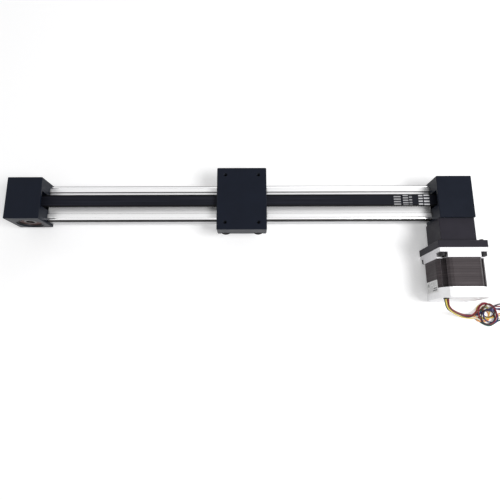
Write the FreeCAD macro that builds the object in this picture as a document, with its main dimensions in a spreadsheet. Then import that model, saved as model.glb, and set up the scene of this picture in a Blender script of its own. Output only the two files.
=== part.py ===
import FreeCAD, Part
import Sketcher
import math
import os
import re
from FreeCAD import Placement, Rotation, Vector

# Belt-driven linear module, in millimetres.
# The origin is the middle of the rail's bottom face. +X runs along the rail to the
# drive end, +Y points to the back, away from the motor, and +Z is up.

doc = FreeCAD.newDocument("LinearModule")
sheet = doc.addObject("Spreadsheet::Sheet", "Sizes")

SIZES = [
    ("rail_length", 474, "rail between the two end blocks"),
    ("rail_width", 45, "base of the rail"),
    ("base_height", 10, "height of the wide base"),
    ("neck_half", 19.6, "half width of the neck that carries the rods"),
    ("deck_height", 18.6, "top of the rail on both sides of its trough"),
    ("trough_half", 14.3, "half width of the shallow trough under the belt"),
    ("trough_depth", 1.8, "depth of the trough"),
    ("neck_bevel", 1.0, "bevel at the top of the neck"),
    ("rail_bevel", 0.6, "bevel on the outer edges of the base"),
    ("channel_half", 9.0, "half width of the return channel inside the rail"),
    ("channel_floor", 4.2, "bottom of the return channel"),
    ("channel_top", 14.0, "top of the return channel"),
    ("slot_spacing", 31.2, "between the two T-slots in the base"),
    ("slot_mouth", 5.0, "mouth of a T-slot"),
    ("slot_lip", 1.6, "lip of a T-slot"),
    ("slot_room", 8.4, "width of a T-slot behind its lips"),
    ("slot_depth", 4.8, "depth of a T-slot"),
    ("rod_radius", 3.0, "hardened guide rod"),
    ("rod_offset", 19.8, "rod axis from the middle of the rail"),
    ("rod_height", 15.0, "rod axis above the base"),
    ("rod_seat", 5.0, "rod end inside an end block"),
    ("rod_fit", 0.02, "radial room of a rod in its seat"),
    ("block_width", 42, "end block along the rail"),
    ("block_depth", 52, "end block across the rail"),
    ("block_height", 40, "end block height"),
    ("block_bevel", 0.6, "bevel on the edges of a block"),
    ("axis_height", 16.5, "shaft axis above the base"),
    ("cavity_half", 9.2, "half width of the pulley cavity"),
    ("cavity_back", 12.6, "cavity behind the shaft axis"),
    ("cavity_below", 12.6, "cavity below the shaft axis"),
    ("cavity_above", 20.5, "cavity above the shaft axis"),
    ("cavity_corner", 3.0, "corner radius of the cavity"),
    ("shaft_radius", 5.0, "pulley shaft"),
    ("shaft_inset", 4.4, "shaft end below the block's face"),
    ("shaft_bevel", 0.5, "bevel on a shaft's end"),
    ("web_hole", 5.8, "radius of the hole in the web beside the cavity"),
    ("race_outer", 15.0, "outer radius of a shaft bearing"),
    ("race_step", 12.7, "inner radius of the outer race"),
    ("race_rim", 7.4, "outer radius of the inner race"),
    ("bearing_width", 9.0, "shaft bearing"),
    ("bearing_inset", 2.4, "bearing below the block's face"),
    ("race_bevel", 0.4, "bevel on a race"),
    ("seal_thick", 0.8, "rubber seal of a bearing"),
    ("seal_inset", 0.3, "seal below the race's face"),
    ("running_fit", 0.05, "radial room of a running fit"),
    ("clip_thick", 1.1, "circlip"),
    ("clip_slot", 1.3, "groove for the circlip"),
    ("clip_slot_depth", 0.8, "depth of the circlip's groove"),
    ("clip_radius", 15.6, "outer radius of the circlip"),
    ("clip_band", 2.3, "radial width of the circlip"),
    ("clip_gap", 7.0, "half width of the circlip's opening"),
    ("ear_reach", 6.0, "how far an ear of the circlip reaches inwards"),
    ("ear_tall", 3.5, "height of a circlip's ear"),
    ("ear_width", 3.4, "width of a circlip's ear"),
    ("ear_hole", 0.9, "radius of the hole in a circlip's ear"),
    ("end_screw_y", 12.2, "rail end screws from the middle of the rail"),
    ("end_screw_z", 8.1, "rail end screws above the base"),
    ("end_screw_reach", 12.0, "rail end screw inside the rail"),
    ("screw_four", 2.0, "radius of an M4 thread"),
    ("head_four", 3.5, "radius of an M4 cap head"),
    ("head_four_tall", 4.0, "height of an M4 cap head"),
    ("hex_four", 1.5, "half across flats of an M4 socket"),
    ("screw_play", 0.15, "radial room of a screw in its hole"),
    ("thread_fit", 0.02, "radial room drawn around a thread"),
    ("head_play", 0.3, "radial room of a head in its counterbore"),
    ("sink_play", 0.4, "head below the face of its counterbore"),
    ("belt_pitch", 3.0, "tooth pitch of the belt"),
    ("pulley_teeth", 20, "teeth of a pulley"),
    ("pitch_gap", 0.381, "pitch line above the pulley's teeth"),
    ("belt_width", 15.0, "belt"),
    ("belt_back", 1.2, "belt from the root of its teeth to its back"),
    ("belt_seat", 0.06, "room between the belt and the pulley's teeth"),
    ("tooth_tall", 1.17, "belt tooth"),
    ("tooth_root", 1.9, "belt tooth at its root"),
    ("tooth_tip", 1.1, "belt tooth at its tip"),
    ("groove_play", 0.12, "room around a belt tooth in its groove"),
    ("flange_radius", 11.4, "pulley flange"),
    ("flange_thick", 1.0, "pulley flange"),
    ("flange_seat", 7.5, "radius of the pulley's end that takes a flange"),
    ("flange_room", 15.8, "between the pulley's flanges"),
    ("carriage_length", 60, "carriage along the rail"),
    ("carriage_width", 78, "carriage across the rail"),
    ("carriage_bottom", 14.8, "lower edge of the carriage's skirts"),
    ("carriage_top", 35.6, "top face of the carriage"),
    ("carriage_rest", 3.0, "middle of the carriage at rest, from the middle of the rail"),
    ("carriage_bevel", 0.8, "bevel on the carriage"),
    ("saddle_half", 24.0, "half width of the carriage's underside over the rail"),
    ("saddle_top", 19.6, "carriage above the rail"),
    ("tunnel_half", 8.0, "half width of the belt's tunnel in the carriage"),
    ("tunnel_room", 0.1, "carriage above the belt's back"),
    ("hole_x", 40, "carriage holes along the rail"),
    ("hole_y", 60, "carriage holes across the rail"),
    ("payload_tap", 2.1, "radius of a tapped hole in the carriage's top"),
    ("hole_bevel", 0.4, "bevel at the mouth of a tapped hole"),
    ("roller_radius", 9.2, "track roller"),
    ("roller_width", 9.0, "track roller"),
    ("roller_play", 0.15, "room of the rod in the roller's groove"),
    ("roller_bevel", 0.4, "bevel on a roller"),
    ("roller_race", 3.8, "outer radius of the roller's inner race"),
    ("roller_bore", 2.5, "bore of the roller's inner race and its M5 axle"),
    ("pocket_radius", 10.6, "pocket of a roller, open through the carriage's outer faces"),
    ("pocket_room", 0.7, "pocket above the roller"),
    ("boss_radius", 3.6, "boss that the inner race stands against"),
    ("washer_thick", 0.5, "washer under the roller"),
    ("axle_head", 4.6, "radius of the axle's head"),
    ("axle_head_tall", 2.6, "height of the axle's head"),
    ("axle_reach", 6.6, "axle thread above the roller"),
    ("hex_five", 1.5, "half across flats of the axle's socket"),
    ("clamp_length", 33, "belt clamp along the belt"),
    ("clamp_width", 28, "belt clamp across the belt"),
    ("clamp_bottom", 20.0, "underside of the belt clamp"),
    ("clamp_room", 0.2, "room around the belt clamp in its pocket"),
    ("clamp_screw_x", 21, "belt clamp screws along the belt"),
    ("clamp_screw_y", 22.4, "belt clamp screws across the belt"),
    ("screw_three", 1.5, "radius of an M3 thread"),
    ("head_three", 2.75, "radius of an M3 cap head"),
    ("head_three_tall", 2.4, "height of an M3 cap head"),
    ("hex_three", 1.25, "half across flats of an M3 socket"),
    ("clamp_screw_reach", 6.0, "clamp screw inside the carriage"),
    ("housing_length", 29, "coupling housing along the motor's axis"),
    ("housing_width", 42, "coupling housing along the rail"),
    ("housing_height", 38.6, "coupling housing height"),
    ("housing_bore", 16.0, "radius of the housing's bore"),
    ("housing_screw_x", 33, "housing screws along the rail"),
    ("housing_screw_z", 26, "housing screws, upright"),
    ("housing_screw_reach", 9.0, "housing screw inside the drive block"),
    ("tap_spare", 2.0, "tapped hole deeper than its screw"),
    ("plate_side", 57, "adapter plate"),
    ("plate_thick", 8.5, "adapter plate"),
    ("plate_bevel", 0.5, "bevel on the adapter plate and housing"),
    ("pilot_radius", 19.05, "pilot spigot of the motor"),
    ("pilot_tall", 1.6, "height of the spigot"),
    ("pilot_recess", 2.0, "depth of its recess in the plate"),
    ("motor_side", 56.4, "motor flange and body"),
    ("motor_corner", 1.2, "corner radius of the flange"),
    ("motor_hole", 47.14, "square of the motor's mounting holes"),
    ("flange_depth", 5.0, "motor flange"),
    ("front_bell", 6.3, "front bell behind the flange"),
    ("ear_cut", 9.1, "square cut at the front bell's corners"),
    ("stack_length", 33.9, "laminated stator"),
    ("stack_cut", 10.6, "cut corner of the stator"),
    ("corner_ease", 3.4, "shallow facet on both sides of a cut corner"),
    ("corner_drop", 1.0, "how far a shallow facet falls"),
    ("flute_radius", 3.2, "flute down the stator's cut corner"),
    ("stator_bore", 18.3, "bore of the stator"),
    ("rotor_radius", 18.0, "rotor"),
    ("rotor_length", 30.0, "rotor"),
    ("rear_bell", 12.3, "rear bell"),
    ("bell_cut", 7.6, "cut corner of the rear bell"),
    ("bell_bevel", 0.8, "bevel at the rear bell's rim"),
    ("motor_shaft", 4.0, "radius of the motor's shaft"),
    ("motor_race", 11.0, "radius of the motor's bearings"),
    ("motor_race_width", 6.0, "motor bearing"),
    ("shaft_room", 0.6, "room round the shaft in the front bell"),
    ("screw_five", 2.5, "radius of an M5 thread"),
    ("head_five", 4.25, "radius of an M5 cap head"),
    ("head_five_tall", 5.0, "height of an M5 cap head"),
    ("hex_motor", 2.0, "half across flats of an M5 socket"),
    ("socket_depth", 0.55, "depth of a hexagon socket as a share of its head"),
    ("screw_proud", 1.6, "motor screw beyond the adapter plate"),
    ("bolt_spacing", 34, "square of the motor's through bolts"),
    ("bolt_reach", 4.0, "through bolt inside the front bell"),
    ("coupling_radius", 12.5, "flexible coupling"),
    ("coupling_start", 2.0, "coupling from the drive block's face"),
    ("hub_length", 11.5, "hub of the coupling"),
    ("hub_gap", 7.0, "between the two hubs"),
    ("jaw_inner", 6.0, "inner radius of the coupling's jaws"),
    ("jaw_angle", 60, "angle of one jaw, in degrees"),
    ("spider_angle", 28, "angle of one lobe of the spider, in degrees"),
    ("jaw_play", 0.3, "jaw short of the other hub, and spider short of both"),
    ("shaft_gap", 1.0, "shaft end below the face of its hub"),
    ("grommet_x", -22.5, "lead exit from the motor's axis, along the rail"),
    ("grommet_z", 20.5, "lead exit above the motor's axis"),
    ("grommet_neck", 2.8, "radius of the lead grommet in the bell"),
    ("grommet_rim", 3.1, "radius of its rim"),
    ("grommet_depth", 3.0, "grommet inside the bell"),
    ("grommet_proud", 1.2, "rim of the grommet"),
    ("label_length", 14.2, "motor label along the motor"),
    ("label_height", 30.0, "motor label, upright"),
    ("label_thick", 0.15, "motor label"),
    ("label_corner", 1.5, "corner radius of the label"),
    ("label_start", 35.3, "label from the motor's face"),
    ("label_bottom", 1.0, "lower edge of the label"),
    ("lead_bundle", 5.0, "eight leads held together"),
    ("coil_x", 304.5, "middle of the coiled leads along X"),
    ("coil_y", -136.5, "middle of the coiled leads along Y"),
    ("coil_outer", 15.2, "outer radius of the coil"),
    ("coil_inner", 8.6, "inner radius of the coil"),
    ("coil_tall", 7.0, "height of the coil"),
    ("coil_round", 2.4, "rounding of the coil's rim"),
]
for row, (alias, number, meaning) in enumerate(SIZES, 1):
    sheet.set(f"A{row}", alias)
    sheet.set(f"B{row}", str(number))
    sheet.set(f"C{row}", meaning)
    sheet.setAlias(f"B{row}", alias)
doc.recompute()
WORDS = {alias for alias, number, meaning in SIZES}

# Places that follow from the sizes, written in the sheet's words.
SHAFT_X = "(rail_length / 2 + block_width / 2)"
FACE_Y = "(block_depth / 2)"
HOUSING_END = f"({FACE_Y} + housing_length)"
MOTOR_FACE = f"({HOUSING_END} + plate_thick)"
STACK_START = f"({MOTOR_FACE} + flange_depth + front_bell)"
STACK_END = f"({STACK_START} + stack_length)"
MOTOR_END = f"({STACK_END} + rear_bell)"
BEARING_OUT = f"({FACE_Y} - bearing_inset)"
BEARING_IN = f"({BEARING_OUT} - bearing_width)"
PULLEY_RADIUS = "(belt_pitch * pulley_teeth / (2 * pi) - pitch_gap)"
LAND_RADIUS = f"({PULLEY_RADIUS} + belt_seat)"
BACK_RADIUS = f"({LAND_RADIUS} + belt_back)"
BELT_BACK_Z = f"(axis_height + {BACK_RADIUS})"
BELT_LAND_Z = f"(axis_height + {LAND_RADIUS})"
ROLLER_LOW = "(rod_height - roller_width / 2)"
ROLLER_HIGH = "(rod_height + roller_width / 2)"
POCKET_TOP = f"({ROLLER_HIGH} + pocket_room)"
FLOOR_Z = "(axis_height - motor_side / 2)"
COUPLING_MID = f"({FACE_Y} + coupling_start + hub_length + hub_gap / 2)"


def named(text):
    """Turn the sheet's words in a text into references to its cells."""
    return re.sub(r"[a-z_]+", lambda m: "Sizes." + m[0] if m[0] in WORDS else m[0], text)


def size(text):
    """The number that a text in the sheet's words stands for."""
    return float(sheet.evalExpression(named(text)))


def bind(item, prop, text):
    item.setExpression(prop, named(text))


def body(label):
    made = doc.addObject("PartDesign::Body", label)
    made.Label = label
    return made


def plane(owner, role):
    return next(f for f in owner.Origin.OriginFeatures if f.Role == role + "_Plane")


def sketch(owner, role, offset="0"):
    """A sketch on one of a body's own planes, moved along the plane's normal."""
    made = owner.newObject("Sketcher::SketchObject", owner.Label + "_sketch")
    made.AttachmentSupport = [(plane(owner, role), "")]
    made.MapMode = "FlatFace"
    if offset != "0":
        bind(made, "AttachmentOffset.Base.z", offset)
    return made


def pin(drawn, curve, point, x, y):
    """Tie one point of a curve to two sizes, counted from the sketch's origin."""
    for kind, text, axis in (("DistanceX", x, -2), ("DistanceY", y, -1)):
        value = size(text)
        if abs(value) < 1e-9:
            drawn.addConstraint(Sketcher.Constraint("PointOnObject", curve, point, axis))
            continue
        made = drawn.addConstraint(Sketcher.Constraint(kind, -1, 1, curve, point, value))
        bind(drawn, f"Constraints[{made}]", text)


def outline(drawn, points):
    """A closed outline of straight edges through points given as pairs of sizes."""
    spots = [Vector(size(x), size(y), 0) for x, y in points]
    edges = [
        drawn.addGeometry(Part.LineSegment(spots[i], spots[(i + 1) % len(spots)]))
        for i in range(len(spots))
    ]
    for i, edge in enumerate(edges):
        after = edges[(i + 1) % len(edges)]
        drawn.addConstraint(Sketcher.Constraint("Coincident", edge, 2, after, 1))
        pin(drawn, edge, 1, *points[i])


def rectangle(drawn, x0, x1, y0, y1):
    outline(drawn, [(x0, y0), (x1, y0), (x1, y1), (x0, y1)])


def circle(drawn, x, y, radius):
    middle = Vector(size(x), size(y), 0)
    curve = drawn.addGeometry(Part.Circle(middle, Vector(0, 0, 1), size(radius)))
    made = drawn.addConstraint(Sketcher.Constraint("Radius", curve, size(radius)))
    bind(drawn, f"Constraints[{made}]", radius)
    pin(drawn, curve, 3, x, y)


def hexagon(drawn, x, y, half_flats):
    """A hexagon, given by half its width across flats, with two corners along x."""
    corner, half = f"{half_flats} * 1.1547", f"{half_flats} * 0.57735"
    shape = [(corner, "0"), (half, half_flats), (f"-{half}", half_flats),
             (f"-{corner}", "0"), (f"-{half}", f"-{half_flats}"), (half, f"-{half_flats}")]
    outline(drawn, [(f"{x} + {a}", f"{y} + {b}") for a, b in shape])


def feature(owner, kind, drawn, **props):
    made = owner.newObject("PartDesign::" + kind, owner.Label + "_" + kind.lower())
    made.Profile = drawn
    for prop, value in props.items():
        if prop == "Length":
            bind(made, prop, value)
        else:
            setattr(made, prop, value)
    drawn.Visibility = False
    return made


def pad(owner, drawn, length, **props):
    return feature(owner, "Pad", drawn, Length=length, **props)


def pocket(owner, drawn, length=None, **props):
    """Cut a sketch out of a body, and make sure that something was cut."""
    doc.recompute()
    before = owner.Shape.Volume
    if length is None:
        made = feature(owner, "Pocket", drawn, Type="ThroughAll", **props)
    else:
        made = feature(owner, "Pocket", drawn, Length=length, **props)
    doc.recompute()
    if owner.Shape.Volume > before - 1e-6:
        raise SystemExit(f"{made.Label} cuts nothing")
    return made


def turn(owner, drawn, axis="H_Axis"):
    """Turn a sketch into a solid around one of its axes."""
    return feature(owner, "Revolution", drawn, ReferenceAxis=(drawn, [axis]), Angle=360)


def groove(owner, drawn, axis="H_Axis"):
    """Turn a sketch around one of its axes and cut it out."""
    doc.recompute()
    before = owner.Shape.Volume
    made = feature(owner, "Groove", drawn, ReferenceAxis=(drawn, [axis]), Angle=360)
    doc.recompute()
    if owner.Shape.Volume > before - 1e-6:
        raise SystemExit(f"{made.Label} cuts nothing")
    return made


def mirror(owner, originals, *roles):
    """Repeat features on the other side of one or two of the body's planes."""
    if len(roles) == 1:
        made = owner.newObject("PartDesign::Mirrored", owner.Label + "_mirror")
        made.Originals = originals
        made.MirrorPlane = (plane(owner, roles[0]), [""])
    else:
        made = owner.newObject("PartDesign::MultiTransform", owner.Label + "_mirrors")
        made.Originals = originals
        steps = []
        for role in roles:
            step = owner.newObject("PartDesign::Mirrored", owner.Label + "_step")
            step.MirrorPlane = (plane(owner, role), [""])
            steps.append(step)
        made.Transformations = steps
    owner.Tip = made
    return made


def bevel(owner, base, bound, picked=None):
    """Chamfer every edge of a feature, or those that a test picks."""
    doc.recompute()
    names = [
        f"Edge{i}"
        for i, edge in enumerate(base.Shape.Edges, 1)
        if picked is None or picked(edge)
    ]
    made = owner.newObject("PartDesign::Chamfer", owner.Label + "_bevel")
    made.Base = (base, names)
    bind(made, "Size", bound)
    return made


def rounding(owner, base, bound, picked):
    doc.recompute()
    names = [f"Edge{i}" for i, edge in enumerate(base.Shape.Edges, 1) if picked(edge)]
    made = owner.newObject("PartDesign::Fillet", owner.Label + "_round")
    made.Base = (base, names)
    bind(made, "Radius", bound)
    return made


def along(edge, axis):
    """Does a straight edge run along an axis?"""
    if len(edge.Vertexes) != 2 or not isinstance(edge.Curve, Part.Line):
        return False
    run = edge.Vertexes[1].Point.sub(edge.Vertexes[0].Point).normalize()
    return abs(abs(run.dot(axis)) - 1) < 1e-6


def place(item, x="0", y="0", z="0", turned=0, axis=Vector(0, 0, 1)):
    """Set where a sub-part stands, turned by some degrees about an axis."""
    item.Placement = Placement(Vector(), Rotation(axis, turned))
    for axis, text in zip("xyz", (x, y, z)):
        bind(item, f"Placement.Base.{axis}", text)


def turned_profile(label, points, axis="H_Axis", role="YZ"):
    """A body turned from an outline: by default its axis is Y, and points are (y, radius)."""
    made = body(label)
    drawn = sketch(made, role)
    outline(drawn, points)
    made.Tip = turn(made, drawn, axis)
    return made


# Rail


def rail_extrusion():
    made = body("rail_extrusion")
    side = [
        ("rail_width / 2 - rail_bevel", "0"),
        ("rail_width / 2", "rail_bevel"),
        ("rail_width / 2", "base_height - rail_bevel"),
        ("rail_width / 2 - rail_bevel", "base_height"),
        ("neck_half", "base_height"),
        ("neck_half", "deck_height - neck_bevel"),
        ("neck_half - neck_bevel", "deck_height"),
        ("trough_half", "deck_height"),
        ("trough_half", "deck_height - trough_depth"),
    ]
    section = sketch(made, "YZ")
    outline(section, side + [(f"-({y})", z) for y, z in reversed(side)])
    pad(made, section, "rail_length", Midplane=True)

    channel = sketch(made, "YZ")
    rectangle(channel, "-channel_half", "channel_half", "channel_floor", "channel_top")
    pocket(made, channel, Midplane=True)

    right_side = sketch(made, "YZ")
    mid, mouth, room = "slot_spacing / 2", "slot_mouth / 2", "slot_room / 2"
    outline(right_side, [
        (f"{mid} - {mouth}", "0"), (f"{mid} + {mouth}", "0"),
        (f"{mid} + {mouth}", "slot_lip"), (f"{mid} + {room}", "slot_lip"),
        (f"{mid} + {room}", "slot_depth"), (f"{mid} - {room}", "slot_depth"),
        (f"{mid} - {room}", "slot_lip"), (f"{mid} - {mouth}", "slot_lip"),
    ])
    circle(right_side, "rod_offset", "rod_height", "rod_radius + rod_fit")
    circle(right_side, "end_screw_y", "end_screw_z", "screw_four + thread_fit")
    cut = pocket(made, right_side, Midplane=True)
    mirror(made, [cut], "XZ")
    return made


def guide_rod(label, side):
    reach = "rail_length / 2 + rod_seat - rod_fit"
    bev = "shaft_bevel"
    made = turned_profile(label, [
        (f"-({reach})", "0"), (reach, "0"), (reach, f"rod_radius - {bev}"),
        (f"{reach} - {bev}", "rod_radius"), (f"{bev} - ({reach})", "rod_radius"),
        (f"-({reach})", f"rod_radius - {bev}"),
    ], role="XZ")
    place(made, y=f"{side} * rod_offset", z="rod_height")
    return made


# End blocks, drawn around the shaft axis with the rail on the +X side


def end_block(label, turned, with_housing):
    made = body(label)
    low, high = "-axis_height", "block_height - axis_height"
    half = "block_width / 2"
    front = sketch(made, "XZ")
    rectangle(front, f"-{half}", half, low, high)
    block = pad(made, front, "block_depth", Midplane=True)
    bevel(made, block, "block_bevel")

    cavity = sketch(made, "XZ")
    rectangle(cavity, "-cavity_back", half, "-cavity_below", "cavity_above")
    room = pocket(made, cavity, "2 * cavity_half", Midplane=True)
    rounding(made, room, "cavity_corner", in_cavity_corner)

    seat = sketch(made, "YZ")
    outline(seat, [
        ("cavity_half - 1", "0"), (f"{FACE_Y} + 1", "0"),
        (f"{FACE_Y} + 1", "race_outer + block_bevel + 1"),
        (FACE_Y, "race_outer + block_bevel"),
        (f"{FACE_Y} - block_bevel", "race_outer"),
        (f"{BEARING_OUT} + clip_slot", "race_outer"),
        (f"{BEARING_OUT} + clip_slot", "race_outer + clip_slot_depth"),
        (BEARING_OUT, "race_outer + clip_slot_depth"),
        (BEARING_OUT, "race_outer"),
        (BEARING_IN, "race_outer"), (BEARING_IN, "web_hole"),
        ("cavity_half - 1", "web_hole"),
    ])
    bore = groove(made, seat)
    mirror(made, [bore], "XZ")

    screws = sketch(made, "YZ", "-block_width / 2")
    circle(screws, "end_screw_y", "end_screw_z - axis_height", "screw_four + screw_play")
    shank = pocket(made, screws, Reversed=True)
    heads = sketch(made, "YZ", "-block_width / 2")
    circle(heads, "end_screw_y", "end_screw_z - axis_height", "head_four + head_play")
    head = pocket(made, heads, "head_four_tall + sink_play", Reversed=True)
    sockets = sketch(made, "YZ", half)
    circle(sockets, "rod_offset", "rod_height - axis_height", "rod_radius + rod_fit")
    socket = pocket(made, sockets, "rod_seat")
    mirror(made, [shank, head, socket], "XZ")

    if with_housing:
        # this block is turned half round, so its front is on the +Y side here
        taps = sketch(made, "XZ", "-block_depth / 2")
        circle(taps, "housing_screw_x / 2", "housing_screw_z / 2", "screw_four + thread_fit")
        tap = pocket(made, taps, "housing_screw_reach + tap_spare", Reversed=True)
        mirror(made, [tap], "YZ", "XY")
    side = 1 if turned else -1
    place(made, x=f"{side} * {SHAFT_X}", z="axis_height", turned=turned)
    return made


def in_cavity_corner(edge):
    """Is this one of the two edges across the cavity, behind the pulley?"""
    middle = edge.CenterOfMass
    return along(edge, Vector(0, 1, 0)) and abs(middle.x + size("cavity_back")) < 0.01


# Screws, each drawn upright with its head above the origin, and their groups


def cap_screw(label, radius, length, head, head_tall, flats):
    """One screw with a round head and a hexagon socket."""
    made = body(label)
    drawn = sketch(made, "XZ")
    outline(drawn, [
        ("0", f"-({length})"), (f"{radius} - shaft_bevel", f"-({length})"),
        (radius, f"shaft_bevel - ({length})"), (radius, "0"), (head, "0"),
        (head, f"{head_tall} - shaft_bevel"), (f"{head} - shaft_bevel", head_tall),
        ("0", head_tall),
    ])
    turn(made, drawn, "V_Axis")
    socket = sketch(made, "XY", head_tall)
    hexagon(socket, "0", "0", flats)
    pocket(made, socket, f"{head_tall} * socket_depth")
    return made


def group(label, shape, spots, up=Vector(0, 0, 1)):
    """Separate copies of one shape at several spots, with its head turned to one side."""
    copies = []
    for spot in spots:
        copy = doc.addObject("App::Link", label + "_copy")
        copy.LinkedObject = shape
        copy.Placement = Placement(Vector(), Rotation(Vector(0, 0, 1), up))
        for axis, text in zip("xyz", spot):
            bind(copy, f"Placement.Base.{axis}", text)
        copies.append(copy)
    made = doc.addObject("Part::Compound", label)
    made.Label = label
    made.Links = copies
    return made


def corners(half_x, half_y, spot):
    """Four spots on a rectangle, each worked out by a function of its two offsets."""
    return [spot(f"({a} * ({half_x}))", f"({b} * ({half_y}))") for a in (-1, 1) for b in (-1, 1)]


# Bearings, shafts and pulleys, drawn around the shaft axis


def outer_races(label, side):
    bev = "race_bevel"
    made = turned_profile(label, [
        (BEARING_IN, "race_step"), (BEARING_OUT, "race_step"),
        (BEARING_OUT, f"race_outer - {bev}"), (f"{BEARING_OUT} - {bev}", "race_outer"),
        (f"{BEARING_IN} + {bev}", "race_outer"), (BEARING_IN, f"race_outer - {bev}"),
    ])
    mirror(made, [made.Tip], "XZ")
    place(made, x=f"{side} * {SHAFT_X}", z="axis_height")
    return made


def inner_races(label, side):
    bev = "race_bevel"
    made = turned_profile(label, [
        (BEARING_IN, "shaft_radius"), (BEARING_OUT, "shaft_radius"),
        (BEARING_OUT, f"race_rim - {bev}"), (f"{BEARING_OUT} - {bev}", "race_rim"),
        (f"{BEARING_IN} + {bev}", "race_rim"), (BEARING_IN, f"race_rim - {bev}"),
    ])
    mirror(made, [made.Tip], "XZ")
    place(made, x=f"{side} * {SHAFT_X}", z="axis_height")
    return made


def seals(label, side):
    made = body(label)
    drawn = sketch(made, "YZ")
    inner, outer = "race_rim + running_fit", "race_step"
    far, near = f"{BEARING_OUT} - seal_inset", f"{BEARING_IN} + seal_inset"
    rectangle(drawn, f"{far} - seal_thick", far, inner, outer)
    rectangle(drawn, near, f"{near} + seal_thick", inner, outer)
    mirror(made, [turn(made, drawn)], "XZ")
    place(made, x=f"{side} * {SHAFT_X}", z="axis_height")
    return made


def circlips(label, side):
    """Two internal circlips, each a split ring with two ears."""
    made = body(label + "_shape")
    ring = sketch(made, "XZ")
    circle(ring, "0", "0", "clip_radius")
    circle(ring, "0", "0", "clip_radius - clip_band")
    pad(made, ring, "clip_thick")
    opening = sketch(made, "XZ")
    rectangle(opening, "-clip_gap", "clip_gap", "0", "clip_radius + 1")
    pocket(made, opening, Reversed=True)
    ears = sketch(made, "XZ")
    low = "clip_radius - clip_band - ear_reach"
    rectangle(ears, "clip_gap", "clip_gap + ear_width", low, f"{low} + ear_tall")
    ear = pad(made, ears, "clip_thick")
    holes = sketch(made, "XZ")
    circle(holes, "clip_gap + ear_width / 2", f"{low} + ear_width / 2", "ear_hole")
    hole = pocket(made, holes, Reversed=True)
    mirror(made, [ear, hole], "YZ")
    spots = [
        (f"{side} * {SHAFT_X}", f"{BEARING_OUT} + clip_thick", "axis_height"),
        (f"{side} * {SHAFT_X}", f"-{BEARING_OUT}", "axis_height"),
    ]
    return group(label, made, spots)


def shaft(label, side, front_end):
    back = f"{FACE_Y} - shaft_inset"
    bev = "shaft_bevel"
    made = turned_profile(label, [
        (f"-({front_end})", "0"), (back, "0"), (back, f"shaft_radius - {bev}"),
        (f"{back} - {bev}", "shaft_radius"), (f"{bev} - ({front_end})", "shaft_radius"),
        (f"-({front_end})", f"shaft_radius - {bev}"),
    ])
    place(made, x=f"{side} * {SHAFT_X}", z="axis_height")
    return made


def groove_points(at_root, at_tip, top, depth):
    """A tooth space seen from the front, from above the land line down to its floor."""
    return [
        (f"-({at_root}) / 2", f"{top} + 1"), (f"({at_root}) / 2", f"{top} + 1"),
        (f"({at_root}) / 2", top), (f"({at_tip}) / 2", f"{top} - ({depth})"),
        (f"-({at_tip}) / 2", f"{top} - ({depth})"), (f"-({at_root}) / 2", top),
    ]


def pulley(label, side):
    made = turned_profile(label, [
        ("-flange_room / 2 - flange_thick", "shaft_radius"),
        ("flange_room / 2 + flange_thick", "shaft_radius"),
        ("flange_room / 2 + flange_thick", "flange_seat"),
        ("flange_room / 2", "flange_seat"), ("flange_room / 2", PULLEY_RADIUS),
        ("-flange_room / 2", PULLEY_RADIUS), ("-flange_room / 2", "flange_seat"),
        ("-flange_room / 2 - flange_thick", "flange_seat"),
    ])
    space = sketch(made, "XZ")
    outline(space, groove_points("tooth_root + 2 * groove_play", "tooth_tip + 2 * groove_play",
                                 PULLEY_RADIUS, "tooth_tall + groove_play"))
    cut = pocket(made, space, "flange_room + 1", Midplane=True)
    ring = made.newObject("PartDesign::PolarPattern", label + "_teeth")
    ring.Originals = [cut]
    ring.Axis = (next(f for f in made.Origin.OriginFeatures if f.Role == "Y_Axis"), [""])
    ring.Angle = 360
    bind(ring, "Occurrences", "pulley_teeth")
    made.Tip = ring
    spacing, first = belt_phase()
    past_top = (first - (1 + side) * size(SHAFT_X)) % spacing
    turned = 360 * past_top / size("belt_pitch * pulley_teeth")
    place(made, x=f"{side} * {SHAFT_X}", z="axis_height", turned=turned, axis=Vector(0, 1, 0))
    return made


def flanges(label, side):
    near, far = "flange_room / 2", "flange_room / 2 + flange_thick"
    made = turned_profile(label, [
        (near, "flange_seat"), (far, "flange_seat"), (far, "flange_radius"),
        (f"{near} + flange_thick / 2", "flange_radius"), (near, "flange_radius - flange_thick"),
    ])
    mirror(made, [made.Tip], "XZ")
    place(made, x=f"{side} * {SHAFT_X}", z="axis_height")
    return made


# Belt


def belt_phase():
    """Where the belt's teeth stand: a tooth's spacing, and the first tooth's place on the loop.

    A tooth stands over the middle of the carriage, where the belt clamp holds it.
    """
    around = 2 * 2 * size(SHAFT_X) + size("belt_pitch * pulley_teeth")
    spacing = around / round(around / size("belt_pitch"))
    return spacing, size(f"carriage_rest + {SHAFT_X}") % spacing


def belt_point(path, height):
    """The point of the loop at a length along its land line, and a height inside it."""
    span, half_turn = 2 * size(SHAFT_X), math.pi * size(LAND_RADIUS)
    pitch_half = size("belt_pitch * pulley_teeth") / 2
    radius = size(LAND_RADIUS) - height
    path = path % (2 * span + 2 * pitch_half)
    if path < span:
        return Vector(path - span / 2, 0, radius)
    if path < span + pitch_half:
        angle = math.pi / 2 - math.pi * (path - span) / pitch_half
        return Vector(span / 2 + radius * math.cos(angle), 0, radius * math.sin(angle))
    if path < 2 * span + pitch_half:
        return Vector(span / 2 - (path - span - pitch_half), 0, -radius)
    angle = -math.pi / 2 - math.pi * (path - 2 * span - pitch_half) / pitch_half
    return Vector(-span / 2 + radius * math.cos(angle), 0, radius * math.sin(angle))


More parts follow.
